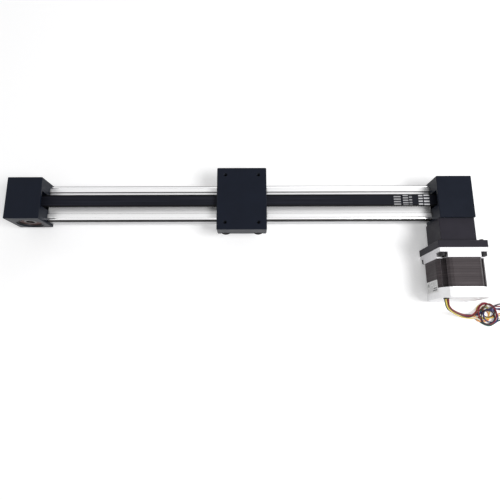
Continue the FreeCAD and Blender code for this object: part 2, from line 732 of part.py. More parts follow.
def timing_belt():
    """A closed toothed belt round both pulleys. A tooth stands at every pitch."""
    root, tip, tall = size("tooth_root") / 2, size("tooth_tip") / 2, size("tooth_tall")
    around = 2 * 2 * size(SHAFT_X) + size("belt_pitch * pulley_teeth")
    spacing, first = belt_phase()
    inner = []
    for tooth in range(round(around / spacing)):
        middle = first + tooth * spacing
        for step, height in ((-root, 0), (-tip, tall), (tip, tall), (root, 0)):
            inner.append(belt_point(middle + step, height))
    inner.append(inner[0])
    back = size(BACK_RADIUS)
    far = size(SHAFT_X)
    lift = Vector(0, 0, back)
    outer = [
        Part.LineSegment(Vector(-far, 0, 0) + lift, Vector(far, 0, 0) + lift),
        Part.Arc(Vector(far, 0, 0) + lift, Vector(far + back, 0, 0), Vector(far, 0, 0) - lift),
        Part.LineSegment(Vector(far, 0, 0) - lift, Vector(-far, 0, 0) - lift),
        Part.Arc(Vector(-far, 0, 0) - lift, Vector(-far - back, 0, 0), Vector(-far, 0, 0) + lift),
    ]
    loop = Part.Wire([curve.toShape() for curve in outer])
    ring = Part.makeFace([loop, Part.makePolygon(inner)], "Part::FaceMakerBullseye")
    band = ring.extrude(Vector(0, size("belt_width"), 0))
    made = doc.addObject("Part::Feature", "timing_belt")
    made.Label = "timing_belt"
    made.Shape = band
    place(made, y="-belt_width / 2", z="axis_height")
    return made


# Carriage, drawn around its own middle, with its heights above the rail's base


def carriage_block():
    made = body("carriage_block")
    section = sketch(made, "YZ")
    half, bev = "carriage_width / 2", "carriage_bevel"
    side = [
        ("saddle_half", "saddle_top"), ("saddle_half", "carriage_bottom"),
        (f"{half} - {bev}", "carriage_bottom"), (half, f"carriage_bottom + {bev}"),
        (half, f"carriage_top - {bev}"), (f"{half} - {bev}", "carriage_top"),
    ]
    tunnel = [("tunnel_half", f"{BELT_BACK_Z} + tunnel_room"), ("tunnel_half", "saddle_top")]
    right_side = tunnel + side
    outline(section, right_side + [(f"-({y})", z) for y, z in reversed(right_side)])
    block = pad(made, section, "carriage_length", Midplane=True)
    bevel(made, block, bev, on_carriage_end)

    seat = sketch(made, "XY", "saddle_top")
    half_x, half_y = "clamp_length / 2 + clamp_room", "clamp_width / 2 + clamp_room"
    rectangle(seat, f"-({half_x})", half_x, f"-({half_y})", half_y)
    pocket(made, seat, f"{BELT_LAND_Z} - groove_play - saddle_top", Reversed=True)

    taps = sketch(made, "XY", "saddle_top")
    circle(taps, "clamp_screw_x / 2", "clamp_screw_y / 2", "screw_three + thread_fit")
    tap = pocket(made, taps, f"{BELT_LAND_Z} - saddle_top + clamp_screw_reach", Reversed=True)

    rooms = sketch(made, "XY", "carriage_bottom")
    circle(rooms, "hole_x / 2", "hole_y / 2", "pocket_radius")
    room = pocket(made, rooms, f"{POCKET_TOP} - carriage_bottom", Reversed=True)
    bosses = sketch(made, "XY", POCKET_TOP)
    circle(bosses, "hole_x / 2", "hole_y / 2", "boss_radius")
    boss = pad(made, bosses, "pocket_room", Reversed=True)
    axles = sketch(made, "XY", "carriage_bottom")
    circle(axles, "hole_x / 2", "hole_y / 2", "roller_bore + thread_fit")
    axle = pocket(made, axles, f"{ROLLER_HIGH} + axle_reach - carriage_bottom", Reversed=True)
    payloads = sketch(made, "XY", "carriage_top")
    circle(payloads, "hole_x / 2", "hole_y / 2", "payload_tap")
    payload = pocket(made, payloads, f"carriage_top - {ROLLER_HIGH} - axle_reach")
    mirror(made, [tap, room, boss, axle, payload], "YZ", "XZ")
    bevel(made, made.Tip, "hole_bevel", on_payload_mouth)
    place(made, x="carriage_rest")
    return made


def on_carriage_end(edge):
    """Is this an upright or top edge of the carriage's two ends?"""
    middle = edge.CenterOfMass
    if abs(abs(middle.x) - size("carriage_length / 2")) > 0.01:
        return False
    return middle.z > size("carriage_top") - 0.9 or abs(middle.y) > size("carriage_width / 2") - 0.9


def on_payload_mouth(edge):
    """Is this the rim of a hole in the carriage's top face?"""
    return isinstance(edge.Curve, Part.Circle) and abs(
        edge.CenterOfMass.z - size("carriage_top")) < 0.01


def belt_clamp():
    """A toothed plate that presses the belt into the carriage's tunnel."""
    made = body("belt_clamp")
    top = f"{BELT_LAND_Z} - groove_play"
    front = sketch(made, "XZ")
    rectangle(front, "-clamp_length / 2", "clamp_length / 2", "clamp_bottom", top)
    pad(made, front, "clamp_width", Midplane=True)
    space = sketch(made, "XZ")
    outline(space, groove_points("tooth_root + 2 * groove_play", "tooth_tip + 2 * groove_play",
                                 top, "tooth_tall"))
    cut = pocket(made, space, "belt_width + 2 * groove_play", Midplane=True)
    for label, turned_round in (("ahead", False), ("behind", True)):
        row = made.newObject("PartDesign::LinearPattern", "belt_clamp_" + label)
        row.Originals = [cut]
        row.Direction = (next(f for f in made.Origin.OriginFeatures if f.Role == "X_Axis"), [""])
        row.Reversed = turned_round
        bind(row, "Length", "floor(clamp_length / 2 / belt_pitch) * belt_pitch")
        bind(row, "Occurrences", "floor(clamp_length / 2 / belt_pitch) + 1")
        made.Tip = row
    holes = sketch(made, "XY", "clamp_bottom")
    circle(holes, "clamp_screw_x / 2", "clamp_screw_y / 2", "screw_three + screw_play")
    hole = pocket(made, holes, Reversed=True)
    sinks = sketch(made, "XY", "clamp_bottom")
    circle(sinks, "clamp_screw_x / 2", "clamp_screw_y / 2", "head_three + head_play")
    sink = pocket(made, sinks, "head_three_tall + sink_play", Reversed=True)
    mirror(made, [hole, sink], "YZ", "XZ")
    place(made, x="carriage_rest")
    return made


def belt_clamp_screws():
    length = f"{BELT_LAND_Z} - clamp_bottom - head_three_tall - sink_play + clamp_screw_reach"
    shape = cap_screw("clamp_screw_shape", "screw_three", length, "head_three",
                      "head_three_tall", "hex_three")
    spots = corners("clamp_screw_x / 2", "clamp_screw_y / 2", lambda x, y: (
        f"carriage_rest + {x}", y, "clamp_bottom + head_three_tall + sink_play"))
    return group("belt_clamp_screws", shape, spots, Vector(0, 0, -1))


def roller_spot(x, y, z=ROLLER_LOW):
    return (f"carriage_rest + {x}", y, z)


def track_roller(label, side_x, side_y):
    """A roller with a round groove that runs on a guide rod."""
    made = body(label)
    drawn = sketch(made, "XZ")
    bev, inner = "roller_bevel", "roller_race + running_fit"
    outline(drawn, [
        (inner, "0"), (f"roller_radius - {bev}", "0"), ("roller_radius", bev),
        ("roller_radius", f"roller_width - {bev}"), (f"roller_radius - {bev}", "roller_width"),
        (inner, "roller_width"),
    ])
    turn(made, drawn, "V_Axis")
    track = sketch(made, "XZ")
    circle(track, "hole_y / 2 - rod_offset", "roller_width / 2", "rod_radius + roller_play")
    groove(made, track, "V_Axis")
    spot = roller_spot(f"{side_x} * hole_x / 2", f"{side_y} * hole_y / 2")
    place(made, *spot)
    return made


def roller_inner_races():
    made = body("roller_race_shape")
    drawn = sketch(made, "XZ")
    rectangle(drawn, "roller_bore", "roller_race", "0", "roller_width")
    turn(made, drawn, "V_Axis")
    return group("roller_inner_races", made, corners("hole_x / 2", "hole_y / 2", roller_spot))


def roller_washers():
    made = body("roller_washer_shape")
    drawn = sketch(made, "XZ")
    rectangle(drawn, "roller_bore", "boss_radius", "0", "washer_thick")
    turn(made, drawn, "V_Axis")
    spots = corners("hole_x / 2", "hole_y / 2",
                    lambda x, y: roller_spot(x, y, f"{ROLLER_LOW} - washer_thick"))
    return group("roller_washers", made, spots)


def roller_axles():
    shape = cap_screw("roller_axle_shape", "roller_bore",
                      "washer_thick + roller_width + axle_reach - shaft_bevel",
                      "axle_head", "axle_head_tall", "hex_five")
    spots = corners("hole_x / 2", "hole_y / 2",
                    lambda x, y: roller_spot(x, y, f"{ROLLER_LOW} - washer_thick"))
    return group("roller_axles", shape, spots, Vector(0, 0, -1))


# Coupling housing, adapter plate and the screws that hold them on the drive block


def rail_end_screws():
    length = "block_width - head_four_tall - sink_play + end_screw_reach"
    shape = cap_screw("end_screw_shape", "screw_four", length, "head_four", "head_four_tall",
                      "hex_four")
    far = f"({SHAFT_X} + block_width / 2 - head_four_tall - sink_play)"
    copies = []
    for side in (-1, 1):
        spots = [(f"{side} * {far}", f"{y} * end_screw_y", "end_screw_z") for y in (-1, 1)]
        pair = group(f"end_screw_pair_{'left' if side < 0 else 'right'}", shape, spots,
                     Vector(side, 0, 0))
        copies.append(pair)
    made = doc.addObject("Part::Compound", "rail_end_screws")
    made.Label = "rail_end_screws"
    made.Links = copies
    return made


def coupling_housing():
    made = body("coupling_housing")
    front = sketch(made, "XZ", FACE_Y)
    half, tall = "housing_width / 2", "housing_height / 2"
    rectangle(front, f"-{half}", half, f"-{tall}", tall)
    block = pad(made, front, "housing_length")
    bevel(made, block, "plate_bevel", lambda edge: along(edge, Vector(0, 1, 0)))
    bore = sketch(made, "XZ", FACE_Y)
    circle(bore, "0", "0", "housing_bore")
    pocket(made, bore, Reversed=True)
    holes = sketch(made, "XZ", FACE_Y)
    circle(holes, "housing_screw_x / 2", "housing_screw_z / 2", "screw_four + screw_play")
    hole = pocket(made, holes, Reversed=True)
    mirror(made, [hole], "YZ", "XY")
    place(made, x=SHAFT_X, z="axis_height")
    return made


def motor_adapter_plate():
    made = body("motor_adapter_plate")
    front = sketch(made, "XZ", HOUSING_END)
    half = "plate_side / 2"
    rectangle(front, f"-{half}", half, f"-{half}", half)
    block = pad(made, front, "plate_thick")
    bevel(made, block, "plate_bevel")
    bore = sketch(made, "XZ", HOUSING_END)
    circle(bore, "0", "0", "housing_bore")
    pocket(made, bore, Reversed=True)
    recess = sketch(made, "XZ", MOTOR_FACE)
    circle(recess, "0", "0", "pilot_radius + running_fit")
    pocket(made, recess, "pilot_recess")
    long_holes = sketch(made, "XZ", MOTOR_FACE)
    circle(long_holes, "housing_screw_x / 2", "housing_screw_z / 2", "screw_four + screw_play")
    long_hole = pocket(made, long_holes)
    sinks = sketch(made, "XZ", MOTOR_FACE)
    circle(sinks, "housing_screw_x / 2", "housing_screw_z / 2", "head_four + head_play")
    sink = pocket(made, sinks, "pilot_recess + sink_play + head_four_tall")
    taps = sketch(made, "XZ", MOTOR_FACE)
    circle(taps, "motor_hole / 2", "motor_hole / 2", "screw_five + thread_fit")
    tap = pocket(made, taps)
    mirror(made, [long_hole, sink, tap], "YZ", "XY")
    place(made, x=SHAFT_X, z="axis_height")
    return made


def housing_screws():
    under_head = f"({MOTOR_FACE} - pilot_recess - sink_play - head_four_tall)"
    shape = cap_screw("housing_screw_shape", "screw_four",
                      f"{under_head} - {FACE_Y} + housing_screw_reach", "head_four",
                      "head_four_tall", "hex_four")
    spots = corners("housing_screw_x / 2", "housing_screw_z / 2", lambda x, z: (
        f"{SHAFT_X} + {x}", f"-{under_head}", f"axis_height + {z}"))
    return group("housing_screws", shape, spots, Vector(0, -1, 0))


# Motor, drawn around its axis


def cut_square(drawn, half, cut):
    """A square with its corners cut off, and a shallow facet on both sides of each cut."""
    near, far, low = f"{half} - {cut}", f"{half} - {cut} - corner_ease", f"{half} - corner_drop"
    corner = [(half, far), (low, near), (near, low), (far, half)]
    points = []
    for x, y in ((1, 1), (-1, 1), (-1, -1), (1, -1)):
        quarter = corner if x == y else corner[::-1]
        points += [(f"{x} * ({a})", f"{y} * ({b})") for a, b in quarter]
    outline(drawn, points)


def upright_corner(edge):
    return along(edge, Vector(0, 1, 0))


def motor_front_bell():
    """The square flange with its pilot spigot, and the bell behind it with cut corners."""
    made = body("motor_front_bell")
    half = "motor_side / 2"
    face = sketch(made, "XZ", MOTOR_FACE)
    rectangle(face, f"-{half}", half, f"-{half}", half)
    square = pad(made, face, "flange_depth + front_bell")
    rounding(made, square, "motor_corner", upright_corner)
    ears = sketch(made, "XZ", f"{MOTOR_FACE} + flange_depth")
    near, far = f"{half} - ear_cut", f"{half} + 1"
    rectangle(ears, near, far, near, far)
    ear = pocket(made, ears, "front_bell", Reversed=True)
    holes = sketch(made, "XZ", MOTOR_FACE)
    circle(holes, "motor_hole / 2", "motor_hole / 2", "screw_five + screw_play")
    hole = pocket(made, holes, "flange_depth", Reversed=True)
    bolts = sketch(made, "XZ", STACK_START)
    circle(bolts, "bolt_spacing / 2", "bolt_spacing / 2", "screw_three + thread_fit")
    bolt = pocket(made, bolts, "bolt_reach + sink_play")
    mirror(made, [ear, hole, bolt], "YZ", "XY")
    spigot = sketch(made, "XZ", MOTOR_FACE)
    circle(spigot, "0", "0", "pilot_radius")
    pad(made, spigot, "pilot_tall", Reversed=True)
    seat = sketch(made, "XZ", STACK_START)
    circle(seat, "0", "0", "motor_race")
    pocket(made, seat, "motor_race_width")
    bore = sketch(made, "XZ", STACK_START)
    circle(bore, "0", "0", "motor_shaft + shaft_room")
    pocket(made, bore)
    place(made, x=SHAFT_X, z="axis_height")
    return made


def motor_stator_stack():
    made = body("motor_stator_stack")
    section = sketch(made, "XZ", STACK_START)
    cut_square(section, "motor_side / 2", "stack_cut")
    circle(section, "0", "0", "stator_bore")
    pad(made, section, "stack_length")
    flutes = sketch(made, "XZ", STACK_START)
    corner = "motor_side / 2 - (stack_cut + corner_drop) / 2"
    circle(flutes, corner, corner, "flute_radius")
    circle(flutes, "bolt_spacing / 2", "bolt_spacing / 2", "screw_three + screw_play")
    flute = pocket(made, flutes, Reversed=True)
    mirror(made, [flute], "YZ", "XY")
    place(made, x=SHAFT_X, z="axis_height")
    return made


def motor_rear_bell():
    made = body("motor_rear_bell")
    section = sketch(made, "XZ", STACK_END)
    cut_square(section, "motor_side / 2", "bell_cut")
    block = pad(made, section, "rear_bell")
    bevel(made, block, "bell_bevel", on_rear_face)
    seat = sketch(made, "XZ", STACK_END)
    circle(seat, "0", "0", "motor_race")
    pocket(made, seat, "motor_race_width + shaft_gap", Reversed=True)
    bolts = sketch(made, "XZ", STACK_END)
    circle(bolts, "bolt_spacing / 2", "bolt_spacing / 2", "screw_three + screw_play")
    bolt = pocket(made, bolts, Reversed=True)
    heads = sketch(made, "XZ", MOTOR_END)
    circle(heads, "bolt_spacing / 2", "bolt_spacing / 2", "head_three + head_play")
    head = pocket(made, heads, "head_three_tall + sink_play")
    mirror(made, [bolt, head], "YZ", "XY")
    outlet = sketch(made, "XZ", MOTOR_END)
    circle(outlet, "grommet_x", "grommet_z", "grommet_neck")
    pocket(made, outlet, "grommet_depth")
    place(made, x=SHAFT_X, z="axis_height")
    return made


def on_rear_face(edge):
    middle = edge.CenterOfMass
    flat = abs(edge.Vertexes[0].Point.y - edge.Vertexes[-1].Point.y) < 1e-6
    return flat and abs(middle.y + size(MOTOR_END)) < 0.01


def motor_bearings():
    """The motor's two sealed bearings, each drawn as one ring."""
    made = body("motor_bearings")
    drawn = sketch(made, "YZ")
    inner, outer = "motor_shaft + running_fit", "motor_race"
    rectangle(drawn, f"-{STACK_START}", f"motor_race_width - {STACK_START}", inner, outer)
    rectangle(drawn, f"-({STACK_END} + motor_race_width)", f"-{STACK_END}", inner, outer)
    turn(made, drawn)
    place(made, x=SHAFT_X, z="axis_height")
    return made


def motor_shaft():
    start = f"{COUPLING_MID} + hub_gap / 2 + shaft_gap"
    end = f"({STACK_END} + motor_race_width + shaft_gap / 2)"
    bev = "shaft_bevel"
    made = turned_profile("motor_shaft", [
        (f"-{end}", "0"), (f"-({start})", "0"), (f"-({start})", f"motor_shaft - {bev}"),
        (f"-({start}) - {bev}", "motor_shaft"), (f"{bev} - {end}", "motor_shaft"),
        (f"-{end}", f"motor_shaft - {bev}"),
    ])
    place(made, x=SHAFT_X, z="axis_height")
    return made


def motor_rotor():
    middle = f"({STACK_START} + stack_length / 2)"
    near, far = f"rotor_length / 2 - {middle}", f"-rotor_length / 2 - {middle}"
    made = body("motor_rotor")
    drawn = sketch(made, "YZ")
    rectangle(drawn, far, near, "motor_shaft", "rotor_radius")
    turn(made, drawn)
    place(made, x=SHAFT_X, z="axis_height")
    return made


def motor_mount_screws():
    under_head = f"({MOTOR_FACE} + flange_depth)"
    shape = cap_screw("mount_screw_shape", "screw_five", "flange_depth + plate_thick + screw_proud",
                      "head_five", "head_five_tall", "hex_motor")
    spots = corners("motor_hole / 2", "motor_hole / 2", lambda x, z: (
        f"{SHAFT_X} + {x}", f"-{under_head}", f"axis_height + {z}"))
    return group("motor_mount_screws", shape, spots, Vector(0, -1, 0))


def motor_through_bolts():
    under_head = f"({MOTOR_END} - head_three_tall - sink_play)"
    shape = cap_screw("through_bolt_shape", "screw_three",
                      f"{under_head} - {STACK_START} + bolt_reach", "head_three",
                      "head_three_tall", "hex_three")
    spots = corners("bolt_spacing / 2", "bolt_spacing / 2", lambda x, z: (
        f"{SHAFT_X} + {x}", f"-{under_head}", f"axis_height + {z}"))
    return group("motor_through_bolts", shape, spots, Vector(0, -1, 0))


def lead_grommet():
    made = turned_profile("lead_grommet", [
        ("grommet_depth", "0"), ("grommet_depth", "grommet_neck"), ("0", "grommet_neck"),
        ("0", "grommet_rim"), ("-grommet_proud", "grommet_rim"), ("-grommet_proud", "0"),
    ])
    place(made, x=f"{SHAFT_X} + grommet_x", y=f"-{MOTOR_END}", z="axis_height + grommet_z")
    return made


def motor_label():
    """The bare label on the motor's side, across the stator and the rear bell."""
    made = body("motor_label")
    face = sketch(made, "YZ", "-motor_side / 2")
    start = f"-({MOTOR_FACE} + label_start)"
    low = "label_bottom - axis_height"
    rectangle(face, f"{start} - label_length", start, low, f"{low} + label_height")
    sheet_pad = pad(made, face, "label_thick", Reversed=True)
    rounding(made, sheet_pad, "label_corner", lambda edge: along(edge, Vector(1, 0, 0)))
    place(made, x=SHAFT_X, z="axis_height")
    return made


# Flexible coupling: two hubs with two jaws each, and a spider between the jaws


def cylinder(label, radius, height, angle="360", z="0", turned=0.0):
    made = doc.addObject("Part::Cylinder", label)
    bind(made, "Radius", radius)
    bind(made, "Height", height)
    bind(made, "Angle", angle)
    made.Placement = Placement(Vector(), Rotation(Vector(0, 0, 1), turned))
    bind(made, "Placement.Base.z", z)
    return made


def joined(label, shapes):
    made = doc.addObject("Part::MultiFuse", label)
    made.Shapes = shapes
    return made


def less(label, base, tool):
    made = doc.addObject("Part::Cut", label)
    made.Label = label
    made.Base, made.Tool = base, tool
    return made


def sectors(label, radius, height, angle, count, z):
    """Equal sectors of a disc, spread round the circle with the first about +X."""
    step = 360 / count
    half = size(angle) / 2
    return [
        cylinder(f"{label}_sector", radius, height, angle, z, i * step - half)
        for i in range(count)
    ]


def coupling_hub(label, bore, forward):
    """A hub with its jaws towards the other hub."""
    disc = cylinder(label + "_disc", "coupling_radius", "hub_length")
    jaws = joined(label + "_jaws", sectors(label, "coupling_radius", "hub_gap - jaw_play",
                                           "jaw_angle", 2, "hub_length"))
    core = cylinder(label + "_core", "jaw_inner", "hub_gap", z="hub_length")
    solid = joined(label + "_solid", [disc, less(label + "_ring", jaws, core)])
    hub = less(label, solid, cylinder(label + "_bore", bore, "hub_length"))
    way = Vector(0, -1, 0) if forward else Vector(0, 1, 0)
    twist = Rotation(Vector(0, 0, 1), 0 if forward else 90)
    hub.Placement = Placement(Vector(), Rotation(Vector(0, 0, 1), way) * twist)
    start = f"{FACE_Y} + coupling_start"
    far = f"{start} + 2 * hub_length + hub_gap"
    bind(hub, "Placement.Base.x", SHAFT_X)
    bind(hub, "Placement.Base.y", f"-({start})" if forward else f"-({far})")
    bind(hub, "Placement.Base.z", "axis_height")
    return hub


def coupling_spider():
    tall = "hub_gap - 2 * jaw_play"
    lobes = sectors("spider", "coupling_radius - jaw_play", tall, "spider_angle", 4, "0")
    spider = joined("coupling_spider", [cylinder("spider_core", "jaw_inner - jaw_play", tall)] + lobes)
    spider.Label = "coupling_spider"
    quarter = Rotation(Vector(0, 0, 1), 45)
    spider.Placement = Placement(Vector(), Rotation(Vector(0, 0, 1), Vector(0, -1, 0)) * quarter)
    bind(spider, "Placement.Base.x", SHAFT_X)
    bind(spider, "Placement.Base.y", f"-({COUPLING_MID} - ({tall}) / 2)")
    bind(spider, "Placement.Base.z", "axis_height")
    return spider


# Leads: a limp bundle from the grommet down to the floor, a coil, and the free ends

BUNDLE_ROUTE = [
    (235.5, -122.2, 37.0), (235.5, -127.8, 37.0), (236.8, -132.0, 32.4),
    (240.6, -133.8, 26.6), (246.8, -134.9, 19.2), (255.0, -136.3, 10.2),
    (265.0, -138.4, 1.8), (275.4, -140.2, -5.0), (284.6, -141.0, -9.2),
    (291.6, -140.6, -9.2),
]
TAIL_ROUTE = [
    (317.5, -133.5, -9.2), (325.0, -131.5, -9.2), (332.5, -131.5, -9.2), (340.0, -133.5, -9.2),
]


def tube(label, route, thickness):
    """A tube of straight runs, joined by arcs as large as the runs allow."""
    points = [Vector(*spot) for spot in route]
    edges, radii = [], []
    start = points[0]
    for before, here, after in zip(points, points[1:], points[2:]):
        back, ahead = before.sub(here), after.sub(here)
        run = min(back.Length, ahead.Length)
        half_turn = (math.pi - back.getAngle(ahead)) / 2
        reach = 0.45 * run
        radii.append(round(reach / math.tan(half_turn), 1))
        first = here.add(back.normalize().multiply(reach))
        last = here.add(ahead.normalize().multiply(reach))
        towards = first.add(last).multiply(0.5).sub(here).normalize()
        radius = reach / math.tan(half_turn)
        middle = here.add(towards.multiply(radius / math.cos(half_turn) - radius))
        edges.append(Part.LineSegment(start, first).toShape())
        edges.append(Part.Arc(first, middle, last).toShape())
        start = last
    edges.append(Part.LineSegment(start, points[-1]).toShape())
    path = Part.Wire(edges)
    way = points[1].sub(points[0])
    mouth = Part.Wire([Part.Circle(points[0], way, thickness / 2).toShape()])
    made = doc.addObject("Part::Feature", label)
    made.Label = label
    made.Shape = path.makePipeShell([mouth], True, False)
    share = made.Shape.Volume / (math.pi * thickness**2 / 4 * path.Length)
    print(label, "radii", radii, "length", round(path.Length, 1), "volume share", round(share, 4))
    made.Placement = Placement()
    return made


def lead_coil():
    """The outer shape of the coiled leads: a ring that lies on the floor."""
    made = body("lead_coil")
    drawn = sketch(made, "XZ")
    rectangle(drawn, "coil_inner", "coil_outer", "0", "coil_tall")
    ring = turn(made, drawn, "V_Axis")
    rounding(made, ring, "coil_round", lambda edge: isinstance(edge.Curve, Part.Circle))
    place(made, "coil_x", "coil_y", FLOOR_Z)
    return made


def build():
    """Every sub-part of the module."""
    parts = [
        rail_extrusion(),
        guide_rod("guide_rod_front", -1),
        guide_rod("guide_rod_rear", 1),
        end_block("idler_block", 0, False),
        end_block("drive_block", 180, True),
        rail_end_screws(),
        timing_belt(),
    ]
    for end, side in (("idler", -1), ("drive", 1)):
        parts += [
            outer_races(end + "_bearing_outer_races", side),
            inner_races(end + "_bearing_inner_races", side),
            seals(end + "_bearing_seals", side),
            circlips(end + "_circlips", side),
            pulley(end + "_pulley", side),
            flanges(end + "_pulley_flanges", side),
        ]
    parts += [
        shaft("idler_shaft", -1, f"{FACE_Y} - shaft_inset"),
        shaft("drive_shaft", 1, f"{COUPLING_MID} - hub_gap / 2 - shaft_gap"),
        carriage_block(), belt_clamp(), belt_clamp_screws(),
        roller_inner_races(), roller_washers(), roller_axles(),
    ]
    for row, side_y in (("front", -1), ("rear", 1)):
        for hand, side_x in (("left", -1), ("right", 1)):
            parts.append(track_roller(f"track_roller_{row}_{hand}", side_x, side_y))
    parts += [
        coupling_housing(), motor_adapter_plate(), housing_screws(),
        motor_front_bell(), motor_stator_stack(), motor_rear_bell(), motor_bearings(),
        motor_shaft(), motor_rotor(), motor_mount_screws(), motor_through_bolts(),
        coupling_hub("coupling_hub_drive", "shaft_radius", True),
        coupling_hub("coupling_hub_motor", "motor_shaft", False),
        coupling_spider(), lead_grommet(), motor_label(),
        tube("lead_bundle", BUNDLE_ROUTE, size("lead_bundle")),
        lead_coil(),
        tube("lead_tail", TAIL_ROUTE, size("lead_bundle")),
    ]
    return parts


def check(parts):
    """Stop where an object failed, or where a sub-part has no sound shape."""
    doc.recompute()
    failed = [o.Label for o in doc.Objects if "Invalid" in o.State or "Error" in o.State]
    if failed:
        raise SystemExit(f"failed: {failed}")
    for item in parts:
        if item.Shape.isNull() or not item.Shape.isValid() or not item.Shape.Solids:
            raise SystemExit(f"{item.Label} has no sound shape")


parts = build()
check(parts)
os.makedirs("parts", exist_ok=True)
for item in parts:
    item.Shape.exportStep(f"parts/{item.Label}.step")
print(len(parts), "sub-parts")
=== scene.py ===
"""Looks of a belt-driven linear module: finishes, print, threads and the motor's loose leads."""
import math

import bpy
import numpy as np
from mathutils import Matrix, Vector


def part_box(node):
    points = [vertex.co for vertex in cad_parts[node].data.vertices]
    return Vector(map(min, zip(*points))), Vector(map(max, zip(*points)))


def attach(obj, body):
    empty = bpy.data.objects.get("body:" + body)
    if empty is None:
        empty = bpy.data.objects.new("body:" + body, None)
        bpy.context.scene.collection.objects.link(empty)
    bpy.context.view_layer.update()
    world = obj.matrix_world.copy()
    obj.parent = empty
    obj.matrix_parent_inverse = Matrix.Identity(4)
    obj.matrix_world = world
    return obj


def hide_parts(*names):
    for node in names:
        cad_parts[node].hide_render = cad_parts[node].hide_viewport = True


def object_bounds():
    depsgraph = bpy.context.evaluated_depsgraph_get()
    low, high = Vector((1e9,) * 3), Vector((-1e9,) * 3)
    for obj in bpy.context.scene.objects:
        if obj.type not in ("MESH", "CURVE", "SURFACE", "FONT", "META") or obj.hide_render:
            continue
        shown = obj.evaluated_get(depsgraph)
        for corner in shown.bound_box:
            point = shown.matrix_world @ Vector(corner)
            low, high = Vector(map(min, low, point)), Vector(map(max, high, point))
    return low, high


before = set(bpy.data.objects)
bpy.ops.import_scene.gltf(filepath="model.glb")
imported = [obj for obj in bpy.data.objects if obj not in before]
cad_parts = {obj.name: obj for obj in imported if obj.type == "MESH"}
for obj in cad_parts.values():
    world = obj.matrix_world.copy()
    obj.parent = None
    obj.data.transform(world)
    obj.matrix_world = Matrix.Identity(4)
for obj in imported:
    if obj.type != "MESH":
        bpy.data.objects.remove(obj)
CAD_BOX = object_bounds()
MM = 0.001
# The floor's height in millimetres. The module's lowest point lies on it.
FLOOR = CAD_BOX[0][2] / MM
# Rows and ends of the carriage's holes and rollers, each with its sign
ROWS = (("front", -1), ("rear", 1))
ENDS = (("left", -1), ("right", 1))


def in_scene(name, data):
    """A new object with this data, in the scene."""
    made = bpy.data.objects.new(name, data)
    bpy.context.scene.collection.objects.link(made)
    return made


# Camera, from the photograph's perspective

PICTURE_SIDE = 500
FOCAL_PIXELS = 423.6
SENSOR = 36.0
NEAREST_SEEN = 10 * MM
CAMERA_PLACE = Vector((13.5, -172.5, 518.4)) * MM
# Its turns in radians: about the level axis, the upright one and its own line of sight
CAMERA_TILT = 0.2208
CAMERA_YAW = 0.0063
CAMERA_ROLL = -0.0090


def add_camera():
    """A camera that stands where the photograph was taken."""
    data = bpy.data.cameras.new("camera")
    data.sensor_width = SENSOR
    data.lens = FOCAL_PIXELS / PICTURE_SIDE * SENSOR
    data.clip_start = NEAREST_SEEN
    camera = in_scene("camera", data)
    turn = (Matrix.Rotation(CAMERA_YAW, 4, "Z") @ Matrix.Rotation(CAMERA_TILT, 4, "X")
            @ Matrix.Rotation(CAMERA_ROLL, 4, "Z"))
    camera.matrix_world = Matrix.Translation(CAMERA_PLACE) @ turn
    bpy.context.scene.camera = camera


# Node trees

# The Mix node's sockets that carry colours: two inputs and an output
MIX_COLOURS = (6, 7)
MIX_RESULT = 2
# Noise hardly leaves this part of the range from nought to one
NOISE_SPAN = (0.3, 0.7)


def add(tree, kind, values=None, **options):
    """A shader node with its options set and its sockets filled or linked."""
    made = tree.nodes.new("ShaderNode" + kind)
    for option, value in options.items():
        setattr(made, option, value)
    for socket, value in (values or {}).items():
        if isinstance(value, bpy.types.NodeSocket):
            tree.links.new(value, made.inputs[socket])
        else:
            made.inputs[socket].default_value = value
    return made


def new_group(name, inputs, outputs):
    """An empty node group, its input node and its output node."""
    tree = bpy.data.node_groups.new(name, "ShaderNodeTree")
    for side, sockets in (("INPUT", inputs), ("OUTPUT", outputs)):
        for label, kind in sockets:
            tree.interface.new_socket(label, in_out=side, socket_type="NodeSocket" + kind)
    return tree, tree.nodes.new("NodeGroupInput"), tree.nodes.new("NodeGroupOutput")


def use(tree, group, **values):
    """Place a node group in a material. Its outputs are read by name."""
    made = tree.nodes.new("ShaderNodeGroup")
    made.node_tree = group
    for label, value in values.items():
        socket = made.inputs[label.replace("_", " ")]
        if isinstance(value, bpy.types.NodeSocket):
            tree.links.new(value, socket)
        else:
            socket.default_value = value
    return made.outputs


def math_node(tree, operation, first, second=0.0):
    return add(tree, "Math", {0: first, 1: second}, operation=operation).outputs[0]


def times(tree, first, second):
    return math_node(tree, "MULTIPLY", first, second)


def plus(tree, first, second):
    return math_node(tree, "ADD", first, second)


def within(tree, value, low, high):
    """One where a value lies between two others, and nought elsewhere."""
    above = math_node(tree, "GREATER_THAN", value, low)
    below = math_node(tree, "LESS_THAN", value, high)
    return times(tree, above, below)


def ramp(tree, value, low, high, to_low=0.0, to_high=1.0):
    """A value carried from one range to another, and kept inside it."""
    return add(tree, "MapRange", {"Value": value, "From Min": low, "From Max": high,
                                  "To Min": to_low, "To Max": to_high}).outputs["Result"]


def spread(tree, pattern, to_low=0.0, to_high=1.0):
    """A noise carried to a range of its own."""
    return ramp(tree, pattern, *NOISE_SPAN, to_low, to_high)


def place_here(tree):
    """Where a point of the surface lies on its piece, in metres."""
    return add(tree, "TexCoord").outputs["Object"]


def split(tree, vector):
    """The X, Y and Z of a vector."""
    return add(tree, "SeparateXYZ", {0: vector}).outputs


def joined(tree, x, y):
    return add(tree, "CombineXYZ", {0: x, 1: y}).outputs[0]


def stretched(tree, vector, scale):
    return add(tree, "VectorMath", {0: vector, 1: scale}, operation="MULTIPLY").outputs[0]


